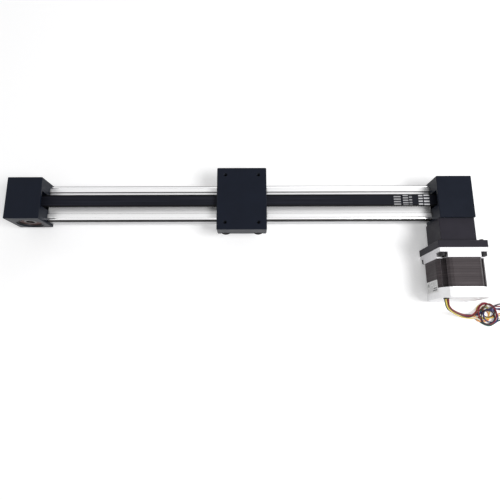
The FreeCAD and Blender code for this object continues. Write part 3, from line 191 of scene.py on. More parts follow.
def noise(tree, vector, scale=1.0, detail=3.0, roughness=0.55):
    return add(tree, "TexNoise", {"Vector": vector, "Scale": scale, "Detail": detail,
                                  "Roughness": roughness}).outputs["Fac"]


def shade_patches(tree, stretch, least, most):
    """Long patches along the rail, where the painted shade lies lighter and darker."""
    return spread(tree, noise(tree, stretched(tree, place_here(tree), stretch)), least, most)


def mixed(tree, share, first, second):
    """Two colours mixed by a share."""
    made = add(tree, "Mix", {"Factor": share}, data_type="RGBA")
    for index, colour in zip(MIX_COLOURS, (first, second)):
        if isinstance(colour, bpy.types.NodeSocket):
            tree.links.new(colour, made.inputs[index])
        else:
            made.inputs[index].default_value = (*colour, 1)
    return made.outputs[MIX_RESULT]


def shade(colour, factor):
    return tuple(part * factor for part in colour)


def toned(tree, share, colour, dark, light):
    """A colour that varies between a darker and a lighter tone of itself."""
    return mixed(tree, share, shade(colour, dark), shade(colour, light))


def bump(tree, height, depth, strength):
    return add(tree, "Bump", {"Height": height, "Distance": depth, "Strength": strength}).outputs[0]


def new_finish(name, metallic=0.0, specular=0.5, roughness=0.5):
    """A material with its Principled shader, ready for colour, roughness and bump."""
    finish = bpy.data.materials.new(name)
    finish.use_nodes = True
    tree = finish.node_tree
    tree.nodes.clear()
    shader = add(tree, "BsdfPrincipled", {"Metallic": metallic, "Specular IOR Level": specular,
                                          "Roughness": roughness})
    add(tree, "OutputMaterial", {"Surface": shader.outputs[0]})
    return finish, tree, shader


def join(tree, shader, **sockets):
    for label, source in sockets.items():
        tree.links.new(source, shader.inputs[label.replace("_", " ")])


# Effects that several finishes share

# Edge wear and painted light on edges: how far the surface turns where the mark begins and where it is
# full, and the part of the noise that breaks it up
EDGE_MARK_TURN = (0.02, 0.16)
EDGE_MARK_BREAK = (0.35, 0.68)
# Painted shade in hollows: how little open a place is where the shade is full, how fine the noise in it
# is, and how much shade the noise leaves at least
LEAST_OPEN = 0.15
SHADE_NOISE_SCALE = 900
SHADE_NOISE_LEAST = 0.75
# Drawn lines: the scale of the broad streaks, as a share of the lines' own
STREAK_SCALE = 0.14
# Plain bars: how much of a row's height and of a letter's width is inked
ROW_INKED = 0.55
LETTER_INKED = 0.5


def make_grain():
    """Fine even grain of a blasted, moulded or anodised surface, and its broad patches."""
    tree, given, out = new_group(
        "grain", [("Size", "Float"), ("Patches", "Float")], [("Grain", "Float"), ("Patch", "Float")])
    here = place_here(tree)
    fine = math_node(tree, "DIVIDE", 1.0, given.outputs["Size"])
    broad = math_node(tree, "DIVIDE", 1.0, given.outputs["Patches"])
    tree.links.new(noise(tree, here, fine, detail=4.0, roughness=0.6), out.inputs["Grain"])
    tree.links.new(noise(tree, here, broad), out.inputs["Patch"])
    return tree


def make_edge_wear_and_painted_light():
    """A mask along edges, broken up by fine noise: rubbed edges, and also painted highlights and painted
    shade on edges.
    """
    tree, given, out = new_group(
        "edge wear and painted light", [("Width", "Float"), ("Break Up", "Float")], [("Edge", "Float")])
    rounded = add(tree, "Bevel", {"Radius": given.outputs["Width"]}, samples=6).outputs[0]
    flat = add(tree, "NewGeometry").outputs["Normal"]
    alike = add(tree, "VectorMath", {0: rounded, 1: flat}, operation="DOT_PRODUCT").outputs["Value"]
    turned = math_node(tree, "SUBTRACT", 1.0, alike)
    broken = noise(tree, place_here(tree), math_node(tree, "DIVIDE", 1.0, given.outputs["Break Up"]))
    worn = times(tree, ramp(tree, turned, *EDGE_MARK_TURN), ramp(tree, broken, *EDGE_MARK_BREAK))
    tree.links.new(worn, out.inputs["Edge"])
    return tree


def make_hollow_shade():
    """Painted shade in corners and under overhangs, where little is open around a point, broken up by fine
    noise.
    """
    tree, given, out = new_group("crevice", [("Reach", "Float"), ("Onset", "Float")], [("Deep", "Float")])
    open_share = add(tree, "AmbientOcclusion", {"Distance": given.outputs["Reach"]}, samples=8).outputs["AO"]
    broken = spread(tree, noise(tree, place_here(tree), SHADE_NOISE_SCALE), SHADE_NOISE_LEAST, 1.0)
    deep = ramp(tree, open_share, LEAST_OPEN, given.outputs["Onset"], 1.0, 0.0)
    tree.links.new(times(tree, deep, broken), out.inputs["Deep"])
    return tree


def make_drawn_lines():
    """Fine lines and broader streaks, drawn along a piece by its die, grinding or winding."""
    tree, given, out = new_group(
        "drawn lines", [("Stretch", "Vector")], [("Lines", "Float"), ("Streaks", "Float")])
    drawn = stretched(tree, place_here(tree), given.outputs["Stretch"])
    tree.links.new(noise(tree, drawn, detail=5.0, roughness=0.65), out.inputs["Lines"])
    tree.links.new(noise(tree, drawn, STREAK_SCALE, detail=2.0), out.inputs["Streaks"])
    return tree


def make_bars():
    """Rows of short plain bars, like print that is too small to read."""
    tree, given, out = new_group(
        "plain bars", [("Place", "Vector"), ("Row", "Float"), ("Letter", "Float"), ("Empty", "Float")],
        [("Ink", "Float")])
    here = split(tree, given.outputs["Place"])
    row = math_node(tree, "DIVIDE", here["Y"], given.outputs["Row"])
    column = math_node(tree, "DIVIDE", here["X"], given.outputs["Letter"])
    cell = joined(tree, math_node(tree, "FLOOR", column), math_node(tree, "FLOOR", row))
    chance = add(tree, "TexWhiteNoise", {"Vector": cell}, noise_dimensions="3D").outputs["Value"]
    filled = math_node(tree, "GREATER_THAN", chance, given.outputs["Empty"])
    in_row = math_node(tree, "LESS_THAN", math_node(tree, "FRACT", row), ROW_INKED)
    in_letter = math_node(tree, "LESS_THAN", math_node(tree, "FRACT", column), LETTER_INKED)
    tree.links.new(times(tree, times(tree, in_row, filled), in_letter), out.inputs["Ink"])
    return tree


GRAIN = make_grain()
EDGE_WEAR_AND_PAINTED_LIGHT = make_edge_wear_and_painted_light()
HOLLOW_SHADE = make_hollow_shade()
DRAWN = make_drawn_lines()
BARS = make_bars()


# Metals, anodising and rubber

# The colour of the painted shade low on the rods, under them and in the rail's trough corner
PAINTED_DARK_SHADE = (0.02, 0.018, 0.018)
# Dyed anodising: how much duller and glossier its patches are
DYE_UNEVEN = (-0.03, 0.05)
# Ground steel: how dark the painted shade in its hollows is
STEEL_HOLLOW_SHADE = 0.06
# Painted shade low on a rod: how fine its patches are along each axis, how much they cover, how much duller
# it is
ROD_SHADE_PATCHES = (60, 700, 700)
ROD_SHADE_COVERED = (0.96, 1.0)
BAND_DULLER = 0.3


def anodised(name, colour, worn, rough):
    """Dyed anodising on milled aluminium: satin, with edges a little rubbed."""
    finish, tree, shader = new_finish(name, specular=0.12)
    grain = use(tree, GRAIN, Size=0.25 * MM, Patches=14 * MM)
    edge = use(tree, EDGE_WEAR_AND_PAINTED_LIGHT, Width=0.35 * MM, Break_Up=1.6 * MM)["Edge"]
    base = toned(tree, grain["Patch"], colour, dark=0.85, light=1.2)
    base = mixed(tree, edge, base, worn)
    even = spread(tree, grain["Grain"], *rough)
    uneven = spread(tree, grain["Patch"], *DYE_UNEVEN)
    join(tree, shader, Base_Color=base, Roughness=plus(tree, even, uneven),
         Normal=bump(tree, grain["Grain"], depth=0.02 * MM, strength=0.5))
    return finish


def ground_steel(name, colour, stretch, rough, track=None):
    """Ground steel, with its grinding marks along or round the piece, painted shade in its hollows, and a
    band of painted shade low on a rod.
    """
    finish, tree, shader = new_finish(name, metallic=1.0)
    marks = use(tree, DRAWN, Stretch=stretch)
    # Painted shade in the hollows
    deep = use(tree, HOLLOW_SHADE, Reach=4 * MM, Onset=0.5)["Deep"]
    base = toned(tree, marks["Streaks"], colour, dark=0.93, light=1.05)
    base = mixed(tree, deep, base, shade(colour, STEEL_HOLLOW_SHADE))
    roughness = spread(tree, marks["Lines"], *rough)
    # A band of painted shade low on a rod, broken into patches, and a little rougher there
    if track:
        on_track = within(tree, split(tree, place_here(tree))["Z"], *track)
        shaded_band = times(tree, on_track, shade_patches(tree, ROD_SHADE_PATCHES, *ROD_SHADE_COVERED))
        base = mixed(tree, shaded_band, base, PAINTED_DARK_SHADE)
        roughness = plus(tree, roughness, times(tree, shaded_band, BAND_DULLER))
    join(tree, shader, Base_Color=base, Roughness=roughness,
         Normal=bump(tree, marks["Lines"], depth=0.006 * MM, strength=0.6))
    return finish


def plain_metal(name, colour, rough, grain_size, depth, worn=None, metallic=1.0):
    """Turned, plated, phosphated, cast or milled metal."""
    finish, tree, shader = new_finish(name, metallic=metallic)
    grain = use(tree, GRAIN, Size=grain_size, Patches=5 * MM)
    base = toned(tree, grain["Patch"], colour, dark=0.9, light=1.08)
    if worn:
        edge = use(tree, EDGE_WEAR_AND_PAINTED_LIGHT, Width=0.2 * MM, Break_Up=0.7 * MM)["Edge"]
        base = mixed(tree, edge, base, worn)
    join(tree, shader, Base_Color=base, Roughness=spread(tree, grain["Grain"], *rough),
         Normal=bump(tree, grain["Grain"], depth, strength=0.6))
    return finish


def moulded(name, colour, rough, grain_size=0.2 * MM, depth=0.02 * MM):
    """Moulded or extruded rubber and plastic."""
    finish, tree, shader = new_finish(name, specular=0.35)
    grain = use(tree, GRAIN, Size=grain_size, Patches=6 * MM)
    base = toned(tree, grain["Patch"], colour, dark=0.82, light=1.15)
    join(tree, shader, Base_Color=base, Roughness=spread(tree, grain["Grain"], *rough),
         Normal=bump(tree, grain["Grain"], depth, strength=0.7))
    return finish


# Rail

# Its colours: of its streaks, and of the painted shade on its edges, hollows, corners and the base's outer
# faces
RAIL_STREAKS = ((0.93, 0.93, 0.94), (0.97, 0.97, 0.97))
RAIL_EDGE_SHADE = (0.42, 0.42, 0.42)
RAIL_HOLLOW_SHADE = (0.05, 0.048, 0.048)
RAIL_CORNER_SHADE = (0.04, 0.04, 0.042)
RAIL_SIDE_SHADE = (0.62, 0.62, 0.63)
# How fine its lines are along each axis, its least and most roughness, how much of the painted shade on its
# edges shows, and how much of the grain is in its relief
RAIL_LINES = (6, 1500, 1500)
RAIL_ROUGH = (0.28, 0.4)
RAIL_EDGE_SHADE_SHARE = 0.6
RAIL_GRAIN = 0.4
# Half its width and its top
RAIL_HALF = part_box("rail_extrusion")[1].y
RAIL_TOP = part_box("rail_extrusion")[1].z
# The base's outer faces, which get painted shade, lie further off the rail's middle than this
SIDE_BEYOND = RAIL_HALF - 0.3 * MM
# Strips of painted shade, off the rail's middle and up: the ledge under a rod, the trough's corner
RAIL_SHADE_STRIPS = [
    ((RAIL_HALF - 2.3 * MM, SIDE_BEYOND), (RAIL_TOP - 9.0 * MM, RAIL_TOP - 8.2 * MM)),
    ((RAIL_HALF - 8.6 * MM, RAIL_HALF - 8.0 * MM), (RAIL_TOP - 2.6 * MM, RAIL_TOP - 0.2 * MM)),
]
# How fine the patches of that painted shade are along each axis, and how much they cover
RAIL_SHADE_PATCHES = (80, 900, 900)
RAIL_SHADE_COVERED = (0.8, 0.98)


def clear_anodised():
    """The rail: bright aluminium with the lines of its extrusion die along it, and painted shade on edges,
    hollows and sides.
    """
    finish, tree, shader = new_finish("clear_anodised", metallic=0.5)
    drawn = use(tree, DRAWN, Stretch=RAIL_LINES)
    grain = use(tree, GRAIN, Size=0.3 * MM, Patches=30 * MM)
    hollow = use(tree, HOLLOW_SHADE, Reach=5.5 * MM, Onset=0.8)["Deep"]
    corner = use(tree, HOLLOW_SHADE, Reach=2.2 * MM, Onset=0.92)["Deep"]
    edge = use(tree, EDGE_WEAR_AND_PAINTED_LIGHT, Width=0.3 * MM, Break_Up=2.5 * MM)["Edge"]
    here = split(tree, place_here(tree))
    off_middle = math_node(tree, "ABSOLUTE", here["Y"])
    base = mixed(tree, spread(tree, drawn["Streaks"]), *RAIL_STREAKS)
    # Painted shade along the edges, in hollows and corners, and on the base's outer faces
    base = mixed(tree, times(tree, edge, RAIL_EDGE_SHADE_SHARE), base, RAIL_EDGE_SHADE)
    base = mixed(tree, hollow, base, RAIL_HOLLOW_SHADE)
    base = mixed(tree, corner, base, RAIL_CORNER_SHADE)
    base = mixed(tree, math_node(tree, "GREATER_THAN", off_middle, SIDE_BEYOND), base, RAIL_SIDE_SHADE)
    # Strips of painted shade on the ledge under each rod and in the trough's corner, broken into patches
    shade_patched = shade_patches(tree, RAIL_SHADE_PATCHES, *RAIL_SHADE_COVERED)
    for across, height in RAIL_SHADE_STRIPS:
        strip = times(tree, within(tree, off_middle, *across), within(tree, here["Z"], *height))
        base = mixed(tree, times(tree, strip, shade_patched), base, PAINTED_DARK_SHADE)
    relief = plus(tree, drawn["Lines"], times(tree, grain["Grain"], RAIL_GRAIN))
    join(tree, shader, Base_Color=base, Roughness=spread(tree, drawn["Lines"], *RAIL_ROUGH),
         Normal=bump(tree, relief, depth=0.015 * MM, strength=0.6))
    return finish


# Belt

# Its colours: of its patches and streaks, of the painted shade along its rims, and of the print
BELT_TONES = ((0.0048, 0.0055, 0.0095), (0.0095, 0.0105, 0.0165))
BELT_STREAK = (0.017, 0.018, 0.026)
BELT_RIM_SHADE = (0.0012, 0.0012, 0.0018)
BELT_INK = (0.62, 0.62, 0.64)
# How fine its lines are along each axis, the part of their noise that shows as streaks, and its least and
# most roughness
BELT_LINES = (60, 2600, 900)
BELT_STREAKED = (0.5, 0.75)
BELT_ROUGH = (0.52, 0.68)
# Half its width, and where the painted shade along its rims begins
BELT_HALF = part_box("timing_belt")[1].y
RIM_FROM = BELT_HALF - 2.3 * MM
# The print: how far off the belt's middle it reaches, above which height, and the share of bars left out
PRINT_HALF = BELT_HALF - 0.9 * MM
PRINT_ABOVE = 20 * MM
PRINT_EMPTY = 0.03
# Groups of bars: from and to along the rail, how wide a bar is with its gap, and how white
BELT_PRINT = [
    (188.6 * MM, 197.0 * MM, 3.2 * MM, 0.60), (199.7 * MM, 206.2 * MM, 3.1 * MM, 0.62),
    (207.3 * MM, 210.9 * MM, 3.5 * MM, 0.50), (218.7 * MM, 223.9 * MM, 3.6 * MM, 0.95),
    (225.2 * MM, 231.9 * MM, 3.9 * MM, 1.0),
]
# Rubbed print: how fine its noise is, the part of the noise that counts, and how much ink is left
FADE_SCALE = 1400
FADE_SPAN = (0.25, 0.5)
FADE_LEFT = (0.55, 1.0)


def belt_print(tree, along, across):
    """The ink of all groups of bars, before it fades."""
    ink = None
    for start, end, letter, paint in BELT_PRINT:
        turned = joined(tree, plus(tree, across, start), math_node(tree, "SUBTRACT", along, start))
        bars = use(tree, BARS, Place=turned, Row=2 * (end - start), Letter=letter, Empty=PRINT_EMPTY)["Ink"]
        group = times(tree, times(tree, bars, within(tree, along, start, end)), paint)
        ink = group if ink is None else plus(tree, ink, group)
    return ink


def belt_rubber():
    """Black belt with lines along its back, painted shade along its rims, and a patch of plain white bars on
    its upper run.
    """
    finish, tree, shader = new_finish("belt_rubber", specular=0.12)
    drawn = use(tree, DRAWN, Stretch=BELT_LINES)
    grain = use(tree, GRAIN, Size=0.22 * MM, Patches=25 * MM)
    along, across, up = split(tree, place_here(tree))
    base = mixed(tree, grain["Patch"], *BELT_TONES)
    base = mixed(tree, ramp(tree, drawn["Streaks"], *BELT_STREAKED), base, BELT_STREAK)
    # Painted shade along the belt's rims
    rim = ramp(tree, math_node(tree, "ABSOLUTE", across), RIM_FROM, PRINT_HALF)
    base = mixed(tree, rim, base, BELT_RIM_SHADE)
    on_top = math_node(tree, "GREATER_THAN", up, PRINT_ABOVE)
    printed = times(tree, within(tree, across, -PRINT_HALF, PRINT_HALF), on_top)
    faded = ramp(tree, noise(tree, place_here(tree), FADE_SCALE), *FADE_SPAN, *FADE_LEFT)
    ink = times(tree, times(tree, belt_print(tree, along, across), printed), faded)
    base = mixed(tree, ink, base, BELT_INK)
    relief = plus(tree, drawn["Lines"], grain["Grain"])
    join(tree, shader, Base_Color=base, Roughness=spread(tree, grain["Grain"], *BELT_ROUGH),
         Normal=bump(tree, relief, depth=0.03 * MM, strength=0.7))
    return finish


# Stator

# How thick a sheet is, and how much of it the seam takes up
SHEET_THICK = 0.65 * MM
SEAM_SHARE = 0.16
# Its colours: of the sheets, their streaks and seams, of the painted shade in its hollows and painted edge
# highlights
SHEET_TONES = ((0.048, 0.040, 0.042), (0.096, 0.082, 0.086))
SHEET_STREAK = (0.062, 0.053, 0.056)
SEAM_COLOUR = (0.012, 0.010, 0.012)
STACK_HOLLOW_SHADE = (0.002, 0.002, 0.003)
STACK_EDGE_HIGHLIGHT = (0.34, 0.33, 0.36)
# How fine its lines are along each axis, the part of their noise that shows as streaks, its least and
# most roughness, and how much of the painted highlight on its edges shows
STACK_LINES = (160, 3200, 160)
STACK_STREAKED = (0.35, 0.7)
STACK_ROUGH = (0.36, 0.52)
STACK_HIGHLIGHT_SHARE = 0.8
# How much of the relief is in the seams, from sheet to sheet and in the grain
SEAM_RELIEF = 0.8
SHEET_RELIEF = 0.5
STACK_GRAIN = 0.25


def laminated_steel():
    """The stator's stack: thin varnished sheets, one beside the other along the motor, with painted shade in
    its flutes and painted highlights on its edges.
    """
    finish, tree, shader = new_finish("lamination_steel", metallic=0.2, specular=0.09)
    sheet = math_node(tree, "DIVIDE", split(tree, place_here(tree))["Y"], SHEET_THICK)
    seam = ramp(tree, math_node(tree, "PINGPONG", sheet, 0.5), 0.0, SEAM_SHARE)
    number = math_node(tree, "FLOOR", sheet)
    chance = add(tree, "TexWhiteNoise", {"W": number}, noise_dimensions="1D").outputs["Value"]
    grain = use(tree, GRAIN, Size=0.35 * MM, Patches=9 * MM)
    drawn = use(tree, DRAWN, Stretch=STACK_LINES)
    hollow = use(tree, HOLLOW_SHADE, Reach=12 * MM, Onset=0.95)["Deep"]
    edge = use(tree, EDGE_WEAR_AND_PAINTED_LIGHT, Width=0.6 * MM, Break_Up=4 * MM)["Edge"]
    base = mixed(tree, chance, *SHEET_TONES)
    base = mixed(tree, ramp(tree, drawn["Streaks"], *STACK_STREAKED), base, SHEET_STREAK)
    base = mixed(tree, seam, SEAM_COLOUR, base)
    # Painted shade in the flutes and painted highlights where the edges catch light
    base = mixed(tree, hollow, base, STACK_HOLLOW_SHADE)
    base = mixed(tree, times(tree, edge, STACK_HIGHLIGHT_SHARE), base, STACK_EDGE_HIGHLIGHT)
    uneven = plus(tree, times(tree, chance, SHEET_RELIEF), times(tree, grain["Grain"], STACK_GRAIN))
    relief = plus(tree, times(tree, seam, SEAM_RELIEF), uneven)
    join(tree, shader, Base_Color=base, Roughness=spread(tree, grain["Patch"], *STACK_ROUGH),
         Normal=bump(tree, relief, depth=0.05 * MM, strength=0.8))
    return finish


# Label

# Its colours: of the film, the bars and the heavy marks
LABEL_WHITES = ((0.74, 0.74, 0.73), (0.83, 0.83, 0.82))
LABEL_GREY = (0.34, 0.34, 0.35)
LABEL_BLACK = (0.03, 0.03, 0.035)
LABEL_ROUGH = (0.32, 0.45)
# Its print: how high a row and how wide a bar are with their gaps, the margin, and the share left out
LABEL_ROW = 2.6 * MM
LABEL_LETTER = 1.3 * MM
LABEL_MARGIN = 1.4 * MM
LABEL_EMPTY = 0.15
# Plain heavy marks: from and to across the label, from and to up it
LABEL_MARKS = [
    (2.2 * MM, 3.3 * MM, 17 * MM, 28 * MM), (4.6 * MM, 5.6 * MM, 19 * MM, 28 * MM),
    (8.0 * MM, 11.2 * MM, 5.0 * MM, 7.0 * MM),
]


def label_film():
    """White film with a few plain grey bars where a motor's data would be."""
    finish, tree, shader = new_finish("label_film", specular=0.4)
    grain = use(tree, GRAIN, Size=0.5 * MM, Patches=6 * MM)
    low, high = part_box("motor_label")
    here = split(tree, place_here(tree))
    across = math_node(tree, "SUBTRACT", here["Y"], low.y)
    up = math_node(tree, "SUBTRACT", here["Z"], low.z)
    bars = use(tree, BARS, Place=joined(tree, across, up), Row=LABEL_ROW, Letter=LABEL_LETTER,
               Empty=LABEL_EMPTY)["Ink"]
    inside = times(tree, within(tree, across, LABEL_MARGIN, high.y - low.y - LABEL_MARGIN),
                   within(tree, up, LABEL_MARGIN, high.z - low.z - LABEL_MARGIN))
    base = mixed(tree, grain["Patch"], *LABEL_WHITES)
    base = mixed(tree, times(tree, bars, inside), base, LABEL_GREY)
    for left, right, bottom, top in LABEL_MARKS:
        mark = times(tree, within(tree, across, left, right), within(tree, up, bottom, top))
        base = mixed(tree, mark, base, LABEL_BLACK)
    join(tree, shader, Base_Color=base, Roughness=spread(tree, grain["Grain"], *LABEL_ROUGH),
         Normal=bump(tree, grain["Grain"], depth=0.01 * MM, strength=0.4))
    return finish


# The finish of each slot of the record, and of pieces that have their own

# Name, colour, colour where an edge is rubbed, least and most roughness
ANODISED = [
    ("black_anodised", (0.0050, 0.0075, 0.0155), (0.045, 0.047, 0.055), (0.29, 0.40)),
    ("dark_anodised", (0.0205, 0.0183, 0.0262), (0.06, 0.058, 0.06), (0.35, 0.46)),
]
# The band of painted shade low on the rods: from and to which height, counted from a rod's underside
ROD_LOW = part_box("guide_rod_front")[0].z
ROD_SHADE_BAND = (ROD_LOW + 1.0 * MM, ROD_LOW + 5.5 * MM)
# Name, colour, how fine its marks are along each axis, least and most roughness, the band of painted shade
GROUND_STEEL = [
    ("ground_rod", (0.88, 0.88, 0.89), (60, 2600, 2600), (0.10, 0.22), ROD_SHADE_BAND),
    # bearing_steel and shaft_steel are far darker than bare steel: painted shade of the bearing and shaft
    # end in the recess
    ("bearing_steel", (0.11, 0.098, 0.098), (500, 1500, 500), (0.26, 0.38)),
    ("shaft_steel", (0.07, 0.055, 0.055), (300, 2000, 300), (0.30, 0.42)),
]
# Name, colour, least and most roughness, size and depth of the grain, colour where an edge is rubbed,
# how metallic
PLAIN_METAL = [
    # Painted shade: the rollers' steel is a nearly black copy of bearing steel, dark as the shade under the
    # carriage
    ("roller_steel", (0.012, 0.0115, 0.0125), (0.28, 0.42), 0.15 * MM, 0.006 * MM),
    ("spring_steel", (0.07, 0.07, 0.075), (0.36, 0.50), 0.2 * MM, 0.01 * MM, (0.25, 0.25, 0.26)),
    ("pulley_aluminium", (0.72, 0.73, 0.74), (0.26, 0.40), 0.15 * MM, 0.01 * MM),
    ("flange_steel", (0.58, 0.58, 0.60), (0.24, 0.38), 0.3 * MM, 0.008 * MM),
    ("black_screw", (0.035, 0.034, 0.036), (0.30, 0.44), 0.12 * MM, 0.01 * MM, (0.22, 0.21, 0.21)),
    ("bright_screw", (0.62, 0.62, 0.63), (0.22, 0.36), 0.2 * MM, 0.008 * MM),
    ("cast_aluminium", (0.86, 0.86, 0.87), (0.36, 0.50), 0.28 * MM, 0.035 * MM, (0.95, 0.95, 0.95), 0.5),
    # The front bell's own finish: a milled grain, and a tone darker than cast aluminium that is painted
    # shade
    ("milled_aluminium", (0.72, 0.71, 0.73), (0.44, 0.58), 0.35 * MM, 0.06 * MM, (0.9, 0.9, 0.9), 0.5),
]
# Name, colour, least and most roughness
MOULDED = [
    ("seal_rubber", (0.060, 0.019, 0.016), (0.43, 0.57)),
    ("spider_rubber", (0.42, 0.03, 0.02), (0.43, 0.57)),
    ("grommet_rubber", (0.012, 0.012, 0.013), (0.53, 0.67)),
]
# Own finishes: the rollers' and the front bell's are darker copies of steel and aluminium that carry painted
# shade
OWN_FINISH = {f"track_roller_{row}_{end}": "roller_steel" for row, _ in ROWS for end, _ in ENDS}
OWN_FINISH["motor_front_bell"] = "milled_aluminium"


def make_finishes():
    """All finishes by name. They have the names of the record's slots, but for those of single pieces."""
    finishes = {"clear_anodised": clear_anodised(), "belt_rubber": belt_rubber(),
                "lamination_steel": laminated_steel(), "label_film": label_film()}
    for make, rows in ((anodised, ANODISED), (ground_steel, GROUND_STEEL),
                       (plain_metal, PLAIN_METAL), (moulded, MOULDED)):
        for name, *values in rows:
            finishes[name] = make(name, *values)
    return finishes


def dress_cad(finishes):
    """Give every CAD piece the finish of its slot, or its own."""
    for name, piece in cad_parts.items():
        for slot in piece.material_slots:
            wanted = OWN_FINISH.get(name, slot.material.name)
            slot.material = finishes.get(wanted, slot.material)


# Leads, in millimetres

# The route of their middle from the motor to the coil, and from there to the free ends, and how far they
# fan out at each point there
BUNDLE_ROUTE = [
    (235.6, -122.2, 37.0), (235.7, -126.4, 37.0), (237.6, -130.4, 34.0), (242.4, -133.0, 28.4),
    (249.6, -135.2, 21.0), (258.2, -137.0, 12.8), (267.4, -138.4, 4.8), (276.6, -139.3, -2.4),
    (285.0, -139.6, -7.6), (292.0, -139.2, -9.2),
]
TAIL_ROUTE = [(317.5, -133.5, -9.2), (325.0, -131.5, -9.2), (332.5, -131.5, -9.2), (340.0, -133.5, -9.2)]
TAIL_FAN = (1, 1.02, 0.97, 0.9)
# A lead's thickness, and its least and most roughness
LEAD_THICK = 1.45
LEAD_ROUGH = (0.35, 0.49)
# Its tip: how long and thick it is, and its metal in the order of plain_metal
TIP_LENGTH = 5.0
TIP_THICK = 0.8
TINNED = ("tinned_copper", (0.70, 0.66, 0.60), (0.24, 0.38), 0.1 * MM, 0.01 * MM)
# The coil's middle. Its lowest leads lie on the floor.
COIL_MIDDLE = Vector((304.6, -136.2, FLOOR + LEAD_THICK / 2))
# Each lead: name, colour, place across and up in the bundle in diameters, whether it turns against the
# clock, its turns' radius, how far their middle is off the coil's, and the free end's place across
LEADS = [
    ("yellow", (0.76, 0.60, 0.12), (-1.0, 0.87), True, 9.0, (-4.0, 3.8), -4.6),
    ("green", (0.010, 0.085, 0.060), (-1.0, -0.87), True, 11.2, (2.2, -1.4), -9.6),
    ("orange", (0.80, 0.33, 0.08), (0.0, -0.87), True, 9.4, (-4.8, -2.0), -2.0),
    ("white", (0.80, 0.76, 0.62), (-0.5, 0.0), True, 12.0, (-0.6, -0.6), -7.4),
    ("brown", (0.10, 0.034, 0.012), (0.0, 0.87), False, 8.8, (3.6, 3.8), 0.8),
    ("violet", (0.022, 0.018, 0.14), (0.5, 0.0), False, 10.0, (5.2, -1.6), 3.0),
    ("red", (0.22, 0.006, 0.020), (1.0, 0.87), False, 12.6, (-0.6, 1.2), 5.6),
    ("black", (0.020, 0.010, 0.026), (1.0, -0.87), False, 10.0, (0.6, -4.4), 9.4),
]
# The bundle: how many of its first points stay tied, and over how many more it loosens
BUNDLE_TIED = 2
BUNDLE_LOOSENS = 4
# How far it would twist over its whole route, in radians
BUNDLE_TWIST = 1.5
# How far a loose lead sways in diameters, and how the sway goes on from point to point and lead to lead
RUN_SWAY = 0.35
SWAY_ONWARD = 1.4
SWAY_ACROSS = 4
# The turns: how many whole ones, and points to each
TURNS = 1
TURN_POINTS = 14
# The angles in degrees at which they begin and end, against the clock or not
FIRST_ANGLE = {True: 236, False: 166}
LAST_ANGLE = {True: 296, False: 62}
# How far they are out of round and squashed, and how both waves shift from lead to lead
RADIUS_WAVE = 0.1
SQUASH_WAVE = 0.2
RADIUS_DIFFERS = 1.9
SQUASH_DIFFERS = 2.3
# How far the wave of the radius goes on along a lead's turns
RADIUS_ONWARD = 7.3
# How high they pile up in diameters, from lead to lead and along one
PILE_ACROSS = 0.3
PILE_ONWARD = 1.2
# Settling: how many rounds, how many places are watched to each point, and the first point that may move
SETTLE_ROUNDS = 90
PARTS = 3
ROUTE_FREE = 8
# From how many points apart two places of one lead push each other
MAY_TOUCH_AFTER = 3
# How much of an overlap goes in a round, and how much of that sideways
PUSH_SHARE = 0.55
SIDEWAYS = 0.3
# The least weight that a point counts with where it takes over its line's move
LEAST_WEIGHT = 0.5
# How much a round straightens a lead in X, Y and Z, and how far the lead sinks
STRAIGHTEN = (0.01, 0.01, 0.05)
SINK = 0.03
# Distances that count as out of reach and as next to nothing
OUT_OF_REACH = 1e3
NEXT_TO_NOTHING = 1e-6


def across_route(points):
    """For each point of a route, the level direction across it."""
    sides = []
    for index in range(len(points)):
        before, after = points[max(index - 1, 0)], points[min(index + 1, len(points) - 1)]
        run = Vector(after) - Vector(before)
        sides.append(Vector((run.y, -run.x, 0)).normalized())
    return sides


def lead_start(place):
    """A lead's points from the motor to the coil, in a bundle that twists a little and loosens."""
    points = []
    for index, (point, side) in enumerate(zip(BUNDLE_ROUTE, across_route(BUNDLE_ROUTE))):
        past_tied = max(index - BUNDLE_TIED, 0)
        turn = BUNDLE_TWIST * past_tied / len(BUNDLE_ROUTE)
        across = place[0] * math.cos(turn) - place[1] * math.sin(turn)
        up = place[0] * math.sin(turn) + place[1] * math.cos(turn)
        loose = min(past_tied / BUNDLE_LOOSENS, 1)
        across += loose * RUN_SWAY * math.sin(index * SWAY_ONWARD + place[0] * SWAY_ACROSS + place[1])
        points.append(Vector(point) - side * across * LEAD_THICK + Vector((0, 0, up * LEAD_THICK)))
    return points


def lead_coil(number, against_clock, turn_radius, off_middle):
    """A lead's loose turns, out of round and round a middle of their own."""
    middle = COIL_MIDDLE + Vector((*off_middle, 0))
    first, last = FIRST_ANGLE[against_clock], LAST_ANGLE[against_clock]
    if against_clock:
        sweep = (last - first) % 360 + 360 * TURNS
    else:
        sweep = -((first - last) % 360 + 360 * TURNS)
    steps = round(abs(sweep) / 360 * TURN_POINTS)
    points = []
    for step in range(steps + 1):
        share = step / steps
        angle = math.radians(first + sweep * share)
        radius = turn_radius * (1 + RADIUS_WAVE * math.sin(number * RADIUS_DIFFERS + share * RADIUS_ONWARD))
        squash = 1 - SQUASH_WAVE * math.sin(number * SQUASH_DIFFERS + 2 * angle)
        height = LEAD_THICK * (PILE_ACROSS * number + PILE_ONWARD * share)
        points.append(middle + Vector((radius * math.cos(angle), radius * squash * math.sin(angle), height)))
    return points


def lead_end(end_place):
    """A lead's points from the coil to its free end, fanned out beside the others."""
    return [Vector((x, y + end_place * fan, COIL_MIDDLE.z)) for (x, y, _), fan in zip(TAIL_ROUTE, TAIL_FAN)]


